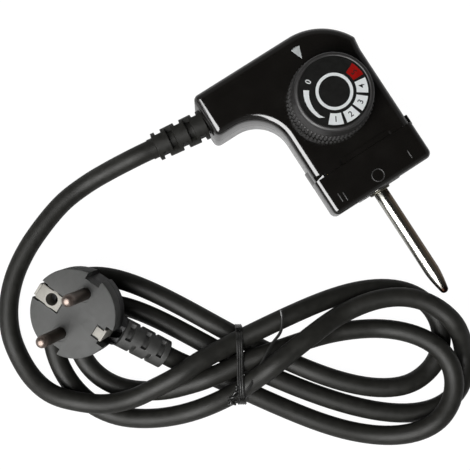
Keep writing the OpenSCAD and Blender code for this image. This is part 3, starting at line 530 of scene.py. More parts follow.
def add_node(tree, kind, links, **settings):
    """A node with its settings; each input is linked to a socket or holds a constant."""
    node = tree.nodes.new(kind)
    for name, value in settings.items():
        setattr(node, name, value)
    for key, value in links.items():
        if isinstance(value, bpy.types.NodeSocket):
            tree.links.new(value, node.inputs[key])
        else:
            node.inputs[key].default_value = value
    return node


def node_tree(name):
    material = bpy.data.materials.new(name)
    material.use_nodes = True
    tree = material.node_tree
    place = add_node(tree, "ShaderNodeTexCoord", {})
    return material, tree, tree.nodes["Principled BSDF"], place.outputs["Object"]


def add_noise(tree, place, scale, detail=3.0, stretch=None):
    """Noise of so many cells a metre, on coordinates that may be stretched."""
    if stretch:
        mapping = add_node(tree, "ShaderNodeMapping", {"Vector": place, "Scale": stretch})
        place = mapping.outputs["Vector"]
    noise = add_node(tree, "ShaderNodeTexNoise", {"Vector": place, "Scale": scale, "Detail": detail})
    return noise.outputs["Fac"]


def ramp(tree, value, stops):
    """Colour ramp through (place, colour) stops."""
    node = add_node(tree, "ShaderNodeValToRGB", {"Fac": value})
    elements = node.color_ramp.elements
    while len(elements) < len(stops):
        elements.new(0.5)
    for element, (place, colour) in zip(elements, stops):
        element.position = place
        element.color = (*colour, 1)
    return node.outputs["Color"]


def two_tone(tree, value, first, second):
    """Colour from a noise value, between two colours."""
    return ramp(tree, value, [(NOISE_LOW, first), (NOISE_HIGH, second)])


def grey(value):
    return (value, value, value)


def spread(tree, value, low, high, start=NOISE_LOW, end=NOISE_HIGH):
    """Maps a value, noise unless said otherwise, to a range."""
    node = add_node(tree, "ShaderNodeMapRange", {"Value": value, "From Min": start, "From Max": end,
                                                 "To Min": low, "To Max": high})
    return node.outputs["Result"]


def add_bump(tree, shader, value, distance):
    bump = add_node(tree, "ShaderNodeBump", {"Strength": 1, "Distance": distance * MM, "Height": value})
    tree.links.new(bump.outputs["Normal"], shader.inputs["Normal"])


def shade(colour, factor):
    return tuple(min(1.0, c * factor) for c in colour)


def moulded(slot, colour, rough, uneven=0.06, mottle=0.12, grain=0.4, bump=0.004, metal=0.0, spec=0.5):
    """Plain moulded, cast or drawn material: mottled colour, uneven gloss and a fine grain."""
    cells_per_mottle = 12
    material, tree, shader, place = node_tree(slot)
    slow = add_noise(tree, place, 1 / (cells_per_mottle * grain * MM))
    fine = add_noise(tree, place, 1 / (grain * MM), detail=5.0)
    tree.links.new(two_tone(tree, slow, shade(colour, 1 - mottle), shade(colour, 1 + mottle)),
                   shader.inputs["Base Color"])
    tree.links.new(spread(tree, slow, rough - uneven, rough + uneven),
                   shader.inputs["Roughness"])
    shader.inputs["Metallic"].default_value = metal
    shader.inputs["Specular IOR Level"].default_value = spec
    add_bump(tree, shader, fine, bump)
    MATERIALS[slot] = material


def along_axis(tree, place, origin, direction):
    """Length along a direction from a place, in metres."""
    away = add_node(tree, "ShaderNodeVectorMath", {0: place, 1: origin * MM}, operation="SUBTRACT")
    dot = add_node(tree, "ShaderNodeVectorMath", {0: away.outputs["Vector"], 1: direction},
                   operation="DOT_PRODUCT")
    return dot.outputs["Value"]


def blend(tree, factor, first, second):
    mix = add_node(tree, "ShaderNodeMix", {}, data_type="RGBA")
    for key, value in (("Factor", factor), (6, first), (7, second)):
        tree.links.new(value, mix.inputs[key])
    return mix.outputs[2]


def probe_steel():
    """Polished tube with painted shade: brown over the half towards +X, dark umber at that edge, and darker
    at its tip.
    """
    half_shade_band = (-0.5 * MM, 1.1 * MM)
    shaded_side = (1.6 * MM, 2.7 * MM)
    dark_end = (2 * MM, 9 * MM)
    material, tree, shader, place = node_tree("steel")
    lines = add_noise(tree, place, scale=500, detail=2.0, stretch=(1, 0.1, 1))
    # Painted shade: the colour turns brown from the middle towards +X and dark umber at the +X edge, the
    # side away from the key light.
    side = along_axis(tree, place, Vector((0, 0, 0)), (1, 0, 0))
    half_shaded = spread(tree, side, 0, 1, *half_shade_band)
    end = along_axis(tree, place, Vector((0, -PROBE_TIP, 0)), (0, 1, 0))
    darkened = spread(tree, end, 1, 0, *dark_end)
    shaded = spread(tree, side, 0, 1, *shaded_side)
    bare_steel = two_tone(tree, lines, (0.5, 0.5, 0.46), (0.58, 0.57, 0.52))
    half_shade_brown = two_tone(tree, lines, (0.2, 0.155, 0.11), (0.27, 0.215, 0.16))
    deep_shade_umber = two_tone(tree, lines, (0.085, 0.06, 0.042), (0.11, 0.08, 0.058))
    dark = two_tone(tree, lines, (0.012, 0.005, 0.003), (0.02, 0.009, 0.006))
    sides = blend(tree, shaded, blend(tree, half_shaded, bare_steel, half_shade_brown), deep_shade_umber)
    tree.links.new(blend(tree, darkened, sides, dark), shader.inputs["Base Color"])
    tree.links.new(spread(tree, lines, low=0.19, high=0.21), shader.inputs["Roughness"])
    shader.inputs["Metallic"].default_value = 1
    MATERIALS["steel"] = material


def plug_pin_metal():
    """Painted reflection: shafts painted dark, as if mirroring dark surroundings, that turn to pale copper
    at their tips.
    """
    pale_end = (13.5 * MM, 16.5 * MM)
    material, tree, shader, place = node_tree("pin_metal")
    axis = plug_matrix().to_3x3() @ Vector((0, 0, 1))
    reach = along_axis(tree, place, PLUG_AT, axis)
    grain = add_noise(tree, place, scale=900)
    tip = spread(tree, reach, 0, 1, *pale_end)
    # Painted reflection: the shaft colour stands in for the dark surroundings mirrored in the metal.
    shaft_dark_reflection = two_tone(tree, grain, (0.045, 0.032, 0.024), (0.08, 0.055, 0.04))
    pale = two_tone(tree, grain, (0.13, 0.1, 0.085), (0.2, 0.16, 0.14))
    tree.links.new(blend(tree, tip, shaft_dark_reflection, pale), shader.inputs["Base Color"])
    tree.links.new(spread(tree, grain, low=0.36, high=0.46), shader.inputs["Roughness"])
    shader.inputs["Metallic"].default_value = 0.9
    add_bump(tree, shader, grain, distance=0.004)
    MATERIALS["pin_metal"] = material


def make_materials():
    moulded("case_black", (0.0065, 0.0058, 0.005), rough=0.13, uneven=0.04, grain=0.8, bump=0.0015, spec=0.9)
    moulded("knob_black", (0.013, 0.012, 0.0115), rough=0.48, uneven=0.05, grain=0.3, bump=0.003, spec=0.6)
    moulded("dial_black", (0.006, 0.006, 0.0055), rough=0.4, uneven=0.05, grain=0.12, bump=0.004, spec=0.2)
    moulded("print_white", (0.82, 0.85, 0.85), rough=0.5, grain=0.2, mottle=0.03, bump=0.004, spec=0.2)
    moulded("print_red", (0.3, 0.006, 0.004), rough=0.5, grain=0.2, mottle=0.1, bump=0.004, spec=0.05)
    moulded("pointer_silver", (0.44, 0.46, 0.46), rough=0.5, grain=0.2, mottle=0.06, spec=0.3)
    probe_steel()
    moulded("zinc_steel", (0.52, 0.52, 0.5), rough=0.35, grain=0.5, metal=1)
    # Painted shade: a dark copy of zinc steel for the probe collar, which stands in shade.
    moulded("shaded_collar", (0.07, 0.066, 0.05), rough=0.4, grain=0.5, metal=0.8)
    moulded("brass", (0.62, 0.45, 0.18), rough=0.28, grain=0.5, metal=1)
    moulded("copper", (0.66, 0.36, 0.2), rough=0.3, grain=0.5, metal=1)
    moulded("ceramic", (0.78, 0.73, 0.64), rough=0.55, grain=0.3, mottle=0.05, bump=0.01)
    moulded("bakelite", (0.1, 0.06, 0.04), rough=0.4, grain=0.4, mottle=0.3, bump=0.006)
    moulded("white_plastic", (0.72, 0.68, 0.6), rough=0.45, grain=0.3, mottle=0.04)
    moulded("rubber_black", (0.013, 0.0128, 0.0108), rough=0.5, grain=0.25, mottle=0.2, bump=0.008,
            spec=0.24)
    moulded("relief_rubber", (0.038, 0.038, 0.036), rough=0.46, uneven=0.05, grain=0.25,
            mottle=0.15, bump=0.008)
    moulded("tie_black", (0.014, 0.014, 0.013), rough=0.3, grain=0.2, mottle=0.2)
    moulded("plug_black", (0.013, 0.013, 0.0135), rough=0.5, grain=0.3, mottle=0.15, bump=0.006, spec=0.3)
    moulded("plug_grey", (0.07, 0.071, 0.068), rough=0.6, grain=0.18, mottle=0.12, bump=0.012, spec=0.25)
    plug_pin_metal()
    moulded("earth_silver", (0.26, 0.25, 0.225), rough=0.62, grain=0.25, mottle=0.12, metal=0.25, spec=0.3)
    moulded("wire_brown", (0.15, 0.06, 0.025), rough=0.45, grain=0.3)
    moulded("wire_blue", (0.03, 0.11, 0.35), rough=0.45, grain=0.3)
    moulded("wire_green", (0.25, 0.35, 0.03), rough=0.45, grain=0.3)


def dress_solids():
    """Gives each solid that stays the material of its own slot."""
    slots = frame["record"]["materials"]
    by_node = {}
    for entry in slots:
        for node in entry.get("nodes", []):
            by_node[node] = entry["slot"]
    for name, obj in frame["nodes"].items():
        for holder in obj.material_slots:
            known = holder.material.name.split(".")[0] if holder.material else ""
            slot = by_node.get(name, known)
            if slot in MATERIALS:
                holder.material = MATERIALS[slot]


# Head


SPARE = 6
OVERRUN = 1
FAR = 30
SHOULDER_TURN = 5
FLANK_R = 12
SHOULDER_R = 1.6
NECK_R = 2.5
REAR_STEPS = 26
HOLLOW_STEPS = 20


def case_corners(draft=0.0):
    """Body and neck from above, counterclockwise from the front right corner, with spare length at
    the front to cut off. The draft moves the flanks of the body outwards."""
    flank = BODY_X + draft
    front = CASE_FRONT - SPARE
    rear_start = math.degrees(math.atan2(SHOULDER_Y - ARC_Y, SHOULDER_X)) + SHOULDER_TURN
    rear = arc((0, ARC_Y), REAR_R, rear_start, 90, REAR_STEPS)
    hollow = arc((-flank - FILLET_R, NECK_EDGE - FILLET_R), FILLET_R, 90, 0, HOLLOW_STEPS)
    return ([(flank, front, 0), (flank, SHOULDER_Y - SHOULDER_DROP, FLANK_R),
             (SHOULDER_X, SHOULDER_Y, SHOULDER_R)]
            + [(p.x, p.y, 0) for p in rear]
            + [(-NECK_REACH, CASE_LEN, NECK_R), (-NECK_REACH, NECK_EDGE, NECK_R)]
            + [(p.x, p.y, 0) for p in hollow] + [(-flank, front, 0)])


SEAM = 0.12
EDGE_R = 3.1
SCREW_PLACES = [(17, 31), (-17, 31), (17, 55.5)]
FLOOR_DRAFT = 1.4
TOP_DRAFT = 1
SHROUD_FLOOR_DRAFT = 2
SHROUD_TOP_DRAFT = 0.6
BOSS_R = 4.35
BOSS_GAP = 0.1
BOSS_STEPS = 48
COVER_GAP = 0.2
RELIEF_HOLE_R = 5.05


def hollow_out(shell, corners, low, high, bosses=()):
    """Opens a half shell: its front, its inside but for the bosses, the relief's hole in the neck."""
    mill(shell, (-FAR, CASE_FRONT - 2 * SPARE, -FAR), (FAR, CASE_FRONT - COVER_GAP, FAR))
    inner = rounded(drawn_in(corners, WALL))
    inside = stack("inside", [(inner, low), (inner, high)])
    for x, y in bosses:
        drill(inside, BOSS_R, low - OVERRUN, -BOSS_GAP, at(x, y), BOSS_STEPS)
    combine(shell, inside)
    drill(shell, RELIEF_HOLE_R, NECK_REACH - WALL - OVERRUN, NECK_REACH + OVERRUN, along_x(NECK_Y))


def latch_gap(shell):
    """Scoop behind the cover at the left edge of the top."""
    depth = 2.1
    left = -BODY_X - 2
    right = -BODY_X + 3.8
    front = CASE_FRONT - OVERRUN
    scoop = rounded([(left, front, 0), (right, front, 0), (right, CASE_FRONT + 1, 0.9),
                     (left, CASE_FRONT + 2, 0)])
    combine(shell, stack("tool", [(scoop, CASE_TOP - depth), (scoop, CASE_TOP + OVERRUN)]))


def cover_pocket(shell):
    """Shallow pocket with sloped sides in the top, which runs out under the cover."""
    depth = 0.8
    slope = 0.5
    corner_r = 1.6
    left = -10.5
    right = 13.5
    front = CASE_FRONT - OVERRUN
    back = CASE_FRONT + 2.4
    pocket = rounded([(left, front, 0), (right, front, 0), (right, back, corner_r),
                      (left, back, corner_r)])
    combine(shell, stack("tool", [(inset(pocket, slope), CASE_TOP - depth), (pocket, CASE_TOP),
                                  (pocket, CASE_TOP + OVERRUN)]))


def add_upper_shell():
    spindle_hole_r = 4.8
    corners = case_corners()
    shell = rounded_block("upper_shell", (corners, case_corners(TOP_DRAFT)), 0, CASE_TOP, 0, EDGE_R, SEAM)
    hollow_out(shell, corners, -OVERRUN, CASE_TOP - WALL)
    drill(shell, spindle_hole_r, CASE_TOP - 2 * WALL, CASE_TOP + OVERRUN, at(0, KNOB_Y))
    cover_pocket(shell)
    latch_gap(shell)
    finish_piece(shell, "case_black", "upper_case")


def add_lower_shell():
    edge_r = 1.2
    head_r = 2.7
    head_depth = 6
    shank_r = 1.55
    narrow = case_corners(-FLOOR_DRAFT)
    shell = rounded_block("lower_shell", (narrow, case_corners()), FLOOR_Z, 0, edge_r, 0, SEAM)
    hollow_out(shell, narrow, FLOOR_Z + WALL, OVERRUN, SCREW_PLACES)
    for x, y in SCREW_PLACES:
        drill(shell, head_r, FLOOR_Z - OVERRUN, FLOOR_Z + head_depth, at(x, y), BOSS_STEPS)
        drill(shell, shank_r, FLOOR_Z, OVERRUN, at(x, y), BOSS_STEPS)
    finish_piece(shell, "case_black", "lower_case")


def add_clip(shroud, side):
    """Side clip that reaches over the body, with its top sloped down outwards."""
    sunk = 0.2
    proud = 0.6
    inner = side * (BODY_X - sunk)
    outer = side * (BODY_X + proud)
    bottom = -4.5
    slope_from = 1.5
    top = 4.5
    reach = 6
    section = [(inner, bottom), (outer, bottom), (outer, slope_from), (inner, top)]
    if side > 0:
        section = section[::-1]
    rings = [[(x, y, z) for x, z in section] for y in (SHROUD_LEN - OVERRUN, SHROUD_LEN + reach)]
    combine(shroud, loft("tool", rings), "UNION")


def add_right_block(shroud):
    """Small block at the cover's right flank, beside the body."""
    start = BODY_X + 1.4
    thick = 1.4
    reach = 3.6
    bottom = 3.5
    top = 10.2
    block = cuboid("tool", (start, SHROUD_LEN - OVERRUN, bottom), (start + thick, SHROUD_LEN + reach, top))
    bevel_edges(block, width=0.4)
    combine(shroud, block, "UNION")


def add_lip(shroud):
    """Sloped lip of the cover at the left edge of its top."""
    outer = -BODY_X - 0.6
    inner = -BODY_X + 2.6
    outer_top = CASE_TOP - 2.0
    inner_top = CASE_TOP - 0.5
    bottom = CASE_TOP - 2.2
    start = SHROUD_LEN - 1.5
    reach = 0.25
    lean = 0.28
    section = [(outer, outer_top), (inner, inner_top), (inner, bottom), (outer, bottom)]
    rings = [[(x, start, z) for x, z in section],
             [(x, SHROUD_LEN + reach + (x + BODY_X) * lean, z) for x, z in section]]
    combine(shroud, loft("tool", rings), "UNION")


def add_shroud():
    front_r = 2.6
    floor_r = 1.6
    top_r = 2.3
    pad_x = 9
    pad_z = 8
    pad_r = 3
    pad_proud = 0.35
    pad_edge = 0.3
    pad_root = -0.5
    probe_hole_r = 4.68
    socket_hole_r = 3.65
    bottom, middle, top = [
        [(flank, SHROUD_LEN + SPARE, 0), (-flank, SHROUD_LEN + SPARE, 0), (-flank, 0, front_r),
         (flank, 0, front_r)]
        for flank in (SHROUD_X - SHROUD_FLOOR_DRAFT, SHROUD_X, SHROUD_X + SHROUD_TOP_DRAFT)]
    loops = edge_loops(bottom, 0, FLOOR_Z, floor_r)[::-1] + [(rounded(middle), 0)]
    shroud = stack("front_cover", loops + edge_loops(top, 0, CASE_TOP, top_r))
    mill(shroud, (-FAR, SHROUD_LEN, -FAR), (FAR, SHROUD_LEN + 2 * SPARE, FAR))
    inner = SHROUD_X - SHROUD_FLOOR_DRAFT - WALL
    mill(shroud, (-inner, WALL, FLOOR_Z + WALL), (inner, SHROUD_LEN + OVERRUN, CASE_TOP - WALL))
    pad = rounded([(x, z, pad_r) for x, z in ((pad_x, -pad_z), (pad_x, pad_z), (-pad_x, pad_z),
                                              (-pad_x, -pad_z))])
    pad_loops = [(inset(pad, pad_edge), pad_proud), (pad, pad_proud - pad_edge), (pad, pad_root)]
    combine(shroud, stack("tool", pad_loops, along_y(0)), "UNION")
    drill(shroud, probe_hole_r, -WALL - OVERRUN, OVERRUN, along_y(0))
    for side in (-1, 1):
        drill(shroud, socket_hole_r, -WALL - OVERRUN, OVERRUN, along_y(side * SOCKET_X))
        add_clip(shroud, side)
    add_right_block(shroud)
    add_lip(shroud)
    finish_piece(shroud, "case_black", "connector_shroud")


def add_marks():
    """Plain raised marks on the cover: two bars, a ring and one bar, all half round."""
    ridge = 0.3
    taper = ridge * 0.7
    end = 0.08
    sunk = 0.08
    ring_r = 2.5
    ring_place = at(-0.2, 5, CASE_TOP)
    rods = []
    for x, low, high in [(-17.8, 3.5, 7.7), (-15.9, 2.9, 7), (15.15, 3.2, 7.2)]:
        run = high - low
        profile = [(0, 0), (taper, end), (ridge, ridge), (ridge, run - ridge), (taper, run - end), (0, run)]
        place = at(x, high, CASE_TOP - sunk) @ Matrix.Rotation(math.pi / 2, 4, "X")
        rods.append(lathe("mark_bar", profile, segments=16, matrix=place))
    bars = gathered("cover_marks", [(rod.data, Matrix.Scale(1 / MM, 4)) for rod in rods])
    finish_piece(bars, "knob_black", sharp=60)
    for rod in rods:
        bpy.data.objects.remove(rod)
    section = [(p.x, p.y) for p in circle((ring_r, -sunk), ridge, steps=12)]
    finish_piece(lathe("cover_ring", section, segments=96, matrix=ring_place), "knob_black", sharp=60)


def add_knob():
    """Knob with a ribbed skirt, a smooth waist and a seat for the dial's disc."""
    skirt = 6
    ribs = 64
    rib_depth = 0.5
    rib_round = 1.6
    steps_per_rib = 8
    edge = 0.35
    top_r = 15.7
    rim = 1.3
    seat_r = 13.95
    seat = KNOB_H - 1.25
    inner_r = 15
    ceiling = KNOB_H - 3
    hub_r = 5.4
    hub_bore_r = 3.1
    hub_low = 1.9
    profile = [(inner_r, 0.0), (KNOB_R - edge, 0.0), (KNOB_R, edge), (KNOB_R, 2), (KNOB_R, 4),
               (KNOB_R, skirt - 0.5), (KNOB_R - edge, skirt - 0.05), (KNOB_R - 0.75, skirt + 0.1),
               (top_r + 0.42, skirt + 0.45), (top_r + 0.34, skirt + 1.2),
               (top_r + 0.17, (skirt + KNOB_H) / 2)]
    profile += [(p.x, p.y) for p in arc((top_r - rim, KNOB_H - rim), rim, 0, 90, 8)]
    profile += [(seat_r + 0.25, KNOB_H), (seat_r, KNOB_H - 0.2), (seat_r, seat), (hub_bore_r, seat),
                (hub_bore_r, hub_low), (hub_r, hub_low), (hub_r, ceiling), (inner_r, ceiling)]

    def ribbed(r, z, angle):
        if r < KNOB_R - rib_depth or z > skirt:
            return r
        wave = (1 + math.cos(ribs * angle)) / 2
        return r - rib_depth * (1 - wave) ** rib_round

    knob = lathe("control_knob", profile, ribs * steps_per_rib, at(0, KNOB_Y, KNOB_Z), ribbed)
    finish_piece(knob, "knob_black", "knob", body="dial", sharp=50)


DISC_SUNK = 0.25
DISC_TOP = KNOB_Z + KNOB_H - DISC_SUNK
DISC_T = 1
DISC_EDGE = 0.15
DIAL_R = 13.9


def add_dial():
    profile = [(0, 0), (DIAL_R, 0), (DIAL_R, DISC_T - DISC_EDGE), (DIAL_R - DISC_EDGE, DISC_T),
               (0, DISC_T)]
    face = lathe("dial_face", profile, matrix=at(0, KNOB_Y, DISC_TOP - DISC_T))
    finish_piece(face, "dial_black", "dial_disc", body="dial")


FIELD_STEP = 33
FIRST_FIELD = 240
NUMBER_R = 10.9
ZERO_ANGLE = 127.3
NUMBER_SIZE = 3.2
NUMBER_T = 0.03
NUMBER_WEIGHT = 0.035
PRINT_T = 0.12


def number_mesh(name, signs, slot, height):
    """Flat numbers round the dial, read with their tops towards its axis."""
    parts = []
    for sign, angle in signs:
        data = bpy.data.curves.new("number", "FONT")
        data.body = sign
        data.size = NUMBER_SIZE
        data.align_x = "CENTER"
        data.align_y = "CENTER"
        data.extrude = NUMBER_T / 2
        data.offset = NUMBER_WEIGHT
        data.resolution_u = 6
        letter = link("number", data)
        mesh = shown_mesh(letter)
        bpy.data.objects.remove(letter)
        turn = math.radians(angle)
        parts.append((mesh, at(NUMBER_R * math.cos(turn), KNOB_Y + NUMBER_R * math.sin(turn), height)
                      @ Matrix.Rotation(turn + math.pi / 2, 4, "Z")))
    piece = gathered(name, parts)
    weld(piece)
    finish_piece(piece, slot, body="dial")


def add_numbers():
    lift = 0.01
    signs = [(str(i + 1), FIRST_FIELD + FIELD_STEP * i) for i in range(5)]
    number_mesh("field_numbers", signs, "dial_black", DISC_TOP + PRINT_T + lift)
    number_mesh("zero_number", [("0", ZERO_ANGLE)], "print_white", DISC_TOP + 2 * lift)


def add_pointer():
    """Pale wedge with a curved outer end, on the top of the case."""
    turn = math.radians(90.6)
    tip = 19.8
    end = tip + 5.2
    bulge = 0.6
    half = 2
    tip_r = 0.12
    end_r = 0.3
    bulge_r = 6
    root = -0.05
    edge_from = 0.07
    edge = 0.08
    top = 0.12
    place = at(0, KNOB_Y, CASE_TOP) @ Matrix.Rotation(turn, 4, "Z")
    outline = rounded([(tip, 0, tip_r), (end, -half, end_r), (end + bulge, 0, bulge_r), (end, half, end_r)])
    loops = [(outline, root), (outline, edge_from), (inset(outline, edge), top)]
    finish_piece(stack("dial_pointer", loops, place), "pointer_silver", "pointer_mark")


def add_probe():
    """Polished tube with a tapered, rounded tip, and its collar."""
    r = 3.1
    bore_r = 2.1
    inside_r = 2.7
    inside_end = -12.5
    taper = 11
    taper_steps = 14
    nose = 1.75
    nose_len = nose * 0.9
    nose_start = PROBE_TIP - nose_len
    profile = [(bore_r, inside_end), (inside_r, inside_end), (inside_r, 1.25), (r - 0.1, 1.25), (r, 1.4)]
    profile += [(r, y) for y in (10, 20, 30)]
    for i in range(taper_steps + 1):
        t = i / taper_steps
        profile.append((r - (r - nose) * t ** 1.5, PROBE_TIP - taper + (taper - nose_len) * t))
    profile += [(nose * math.cos(math.radians(a)), nose_start + nose_len * math.sin(math.radians(a)))
                for a in range(10, 90, 10)]
    profile += [(0, PROBE_TIP), (0, PROBE_TIP - 4), (bore_r - 0.05, PROBE_TIP - 4.2)]
    probe = lathe("sensing_probe", profile, segments=96, matrix=along_y(0))
    finish_piece(probe, "steel", "probe_tube", sharp=40)
    profile = [(2.75, -12), (4.55, -12), (4.6, -11.9), (4.6, 0.8), (4.2, 1.2), (2.95, 1.2), (2.75, 1.05)]
    collar = lathe("probe_collar", profile, segments=96, matrix=along_y(0))
    # The collar takes the painted-shade copy of zinc steel.
    finish_piece(collar, "zinc_steel", "probe_bush", material="shaded_collar")


# Cord fittings


def band(value, low, high, slope):
    """One between two limits, falling to zero over a slope outside them."""
    return max(0.0, min(1.0, (value - low) / slope + 1, (high - value) / slope + 1))


def sleeve(name, matrix, rings, side_joins, top_joins, length, root_r, ring_r, end_r, root_low=0.0,
           side_turn=37):
    """Segmented relief: rings on a root, joined in turn at their sides and at their top and bottom.
    Rings and joins are given as (start, end) along the sleeve."""
    step = 0.16
    turn_slope = math.radians(2)
    side_half = math.radians(side_turn)
    top_half = math.radians(43)
    bore = CORD_R + 0.08
    angles = full_circle(180)
    count = round((length - root_low) / step)

    def radius(s, angle):
        around = min(angle % math.pi, math.pi - angle % math.pi)
        top = band(around, -1, top_half, turn_slope)
        side = band(math.pi / 2 - around, -1, side_half, turn_slope)
        solid = max([band(s, a, b, step) for a, b in rings]
                    + [band(s, a, b, step) * side for a, b in side_joins]
                    + [band(s, a, b, step) * top for a, b in top_joins])
        outer = ring_r + (end_r - ring_r) * max(0, s) / length
        return root_r + (outer - root_r) * solid

    levels = [root_low + (length - root_low) * i / count for i in range(count + 1)]
    loops = [[round_point(radius(s, a), a, s) for a in angles] for s in levels]
    loops += [[round_point(bore, a, s) for a in angles] for s in (length, root_low)]
    return loft(name, loops, matrix, closed=True)


def add_head_relief():
    rings = [(-2, -0.5), (2.0, 3.3), (5.9, 7.2), (9.8, 11.4), (14.2, 15.8), (18.5, 20.2)]
    side_joins = [(2.0, 7.2), (9.8, 15.8)]
    top_joins = [(-0.5, 2.0), (7.2, 9.8), (15.8, 18.5)]
    relief = sleeve("head_relief", relief_matrix(), rings, side_joins, top_joins, RELIEF_RUN,
                    root_r=4.3, ring_r=6.35, end_r=5.9, root_low=-2)
    finish_piece(relief, "rubber_black", "strain_relief", sharp=40)


def add_plug_relief():
    rings = [(0.2, 1.8), (4.2, 5.8), (7.4, 9.0), (11.4, 13.0), (14.6, 16.2), (18.6, 20.8)]
    side_joins = [(0.2, 5.8), (7.4, 13.0), (14.6, 20.8)]
    top_joins = [(5.8, 7.4), (13.0, 14.6)]
    turn = math.radians(54)
    place = outlet_matrix() @ at(0, 0, OUTLET_START) @ Matrix.Rotation(turn, 4, "Z")
    relief = sleeve("plug_sleeve", place, rings, side_joins, top_joins, PLUG_RELIEF_LEN,
                    root_r=4.2, ring_r=6.1, end_r=6.0, side_turn=52)
    return finish_piece(relief, "rubber_black", "plug_relief", sharp=40, material="relief_rubber")


STRIP_SIDES = 12


def strip(name, points, ups, width, thick):
    """A flat strip with a wire in its middle along points, its flat side facing the given ways."""
    ridge_height = 0.9
    ridge_narrow = 2.2
    rings = []
    for i, point in enumerate(points):
        across = heading(points, i).cross(ups[i]).normalized()
        up = across.cross(heading(points, i))
        ring = []
        for angle in full_circle(STRIP_SIDES):
            ridge = 1 + ridge_height * max(0.0, 1 - abs(math.cos(angle)) * ridge_narrow)
            ring.append(point + across * (width / 2 * math.cos(angle))
                        + up * (thick / 2 * ridge * math.sin(angle)))
        rings.append(ring)
    return loft(name, rings)


def waist_hull(along):
    """Outline of the strands where a plane across the waist cuts them, as (across, height)."""
    back = Matrix.Rotation(-WAIST_TURN, 2)
    cloud = []
    for point in cord_points():
        flat = back @ (Vector((point.x, point.y)) - WAIST)
        off = flat.x - along
        if abs(off) < CORD_R and abs(flat.y) < WAIST_HALF:
            cloud += circle((flat.y, point.z), math.sqrt(CORD_R ** 2 - off ** 2) + TIE_GAP, steps=24)
    cloud = sorted(((p.x, max(p.y, FLOOR_Z + TIE_GAP)) for p in cloud))
    hull = []
    for run in (cloud, cloud[::-1]):
        side = []
        for p in run:
            while len(side) > 1 and ((side[-1][0] - side[-2][0]) * (p[1] - side[-2][1])
                                     <= (side[-1][1] - side[-2][1]) * (p[0] - side[-2][0])):
                side.pop()
            side.append(p)
        hull += side[:-1]
    return [Vector(p) for p in hull]


def even_loop(outline, count):
    """A closed outline as evenly spaced points."""
    closed = outline + [outline[0]]
    runs = [(b - a).length for a, b in zip(closed, closed[1:])]
    out = []
    for k in range(count):
        left = sum(runs) * k / count
        for i, run in enumerate(runs):
            if left <= run:
                out.append(closed[i].lerp(closed[i + 1], left / run))
                break
            left -= run
    return out


WAIST_HALF = 20
TIE_GAP = 0.45
TIE_STEPS = 90
TIE_TURNS = 3
TIE_SPREAD = 1.3
TIE_WANDER = 0.8
TIE_TAIL = [(-91.5, -39.5, 6.3), (-88.5, -38.2, 7.0), (-84, -35.4, 7.1), (-78, -32, 7.2),
            (-72, -28.8, 7.2), (-66.5, -26.6, 7.0), (-63, -22.5, 7.1), (-61.8, -19.5, 7.3)]
TWIST_TURNS = 2.5
TWIST_LIFT = 1.4
TWIST_LINE = [(-92.8, -35.6), (-94.5, -37.4), (-96.5, -38.3), (-98.3, -38.8),
              (-99.2, -39.9), (-98.8, -41.2), (-97.2, -41.0)]


def tie_path():
    """Turns of wire drawn tight round the strands at the waist."""
    side_cut = 1.2
    outline, after, before = [even_loop(waist_hull(x), TIE_STEPS) for x in (0, side_cut, -side_cut)]
    centre = sum(outline, Vector((0, 0))) / TIE_STEPS
    flat = hank_xy(0, 1) - hank_xy(0, 0)
    points = []
    ups = []
    total = TIE_TURNS * TIE_STEPS
    for k in range(total + 1):
        places = [loop[k % TIE_STEPS] for loop in (outline, after, before)]
        place = max(places, key=lambda p: (p - centre).length)
        wander = TIE_WANDER * math.sin(2 * math.pi * k / TIE_STEPS + 1)
        drift = TIE_SPREAD * (2 * k / total - 1) + wander
        along = outline[(k + 1) % TIE_STEPS] - outline[k % TIE_STEPS - 1]
        out = Vector((along.y, -along.x)).normalized()
        xy = hank_xy(drift, place.x)
        points.append(Vector((xy.x, xy.y, place.y)))
        ups.append(Vector((flat.x * out.x, flat.y * out.x, out.y)))
    return points, ups


def add_tie():
    points, ups = tie_path()
    wraps = strip("tie_wraps", points, ups, width=1.1, thick=0.42)
    finish_piece(wraps, "tie_black", "twist_tie", sharp=60)
    line = smooth_run([Vector(p) for p in TIE_TAIL])
    tail = strip("tie_tail", line, [Vector((0, 0, 1))] * len(line), width=1.2, thick=0.4)
    finish_piece(tail, "tie_black", sharp=60)
    return [wraps, tail, add_tie_twist()]


def cord_top(x, y):
    """Height of the topmost strand under a place, or of the table."""
    top = FLOOR_Z
    for point in cord_points():
        off = math.hypot(point.x - x, point.y - y)
        if off < CORD_R:
            top = max(top, point.z + math.sqrt(CORD_R ** 2 - off ** 2))
    return top


def add_tie_twist():
    """The tie's two wires twisted round each other beside the wraps, with a hooked end."""
    spine = smooth_run([Vector((x, y, cord_top(x, y) + TWIST_LIFT)) for x, y in TWIST_LINE])
    radius = 0.55
    wire_r = 0.45
    runs = [[], []]
    for i, place in enumerate(spine):
        along = heading(spine, i)
        across = along.orthogonal().normalized()
        turn = TWIST_TURNS * 2 * math.pi * i / (len(spine) - 1)
        for run, angle in zip(runs, (turn, turn + math.pi)):
            run.append(place + radius * (across * math.cos(angle) + along.cross(across) * math.sin(angle)))
    wires = merged([tube("tie_twist", run, wire_r, sides=10) for run in runs])
    return finish_piece(wires, "tie_black", sharp=60)


# Plug


PLUG_FAR = 20
PIN_R = 2.4
PIN_SIDES = 64
EARTH_BORE_R = 2.55


def pin_matrix(side):
    """From the frame of one pin, its foot at zero, to the part's."""
    return plug_matrix() @ at(side * PIN_GAP / 2, 0)


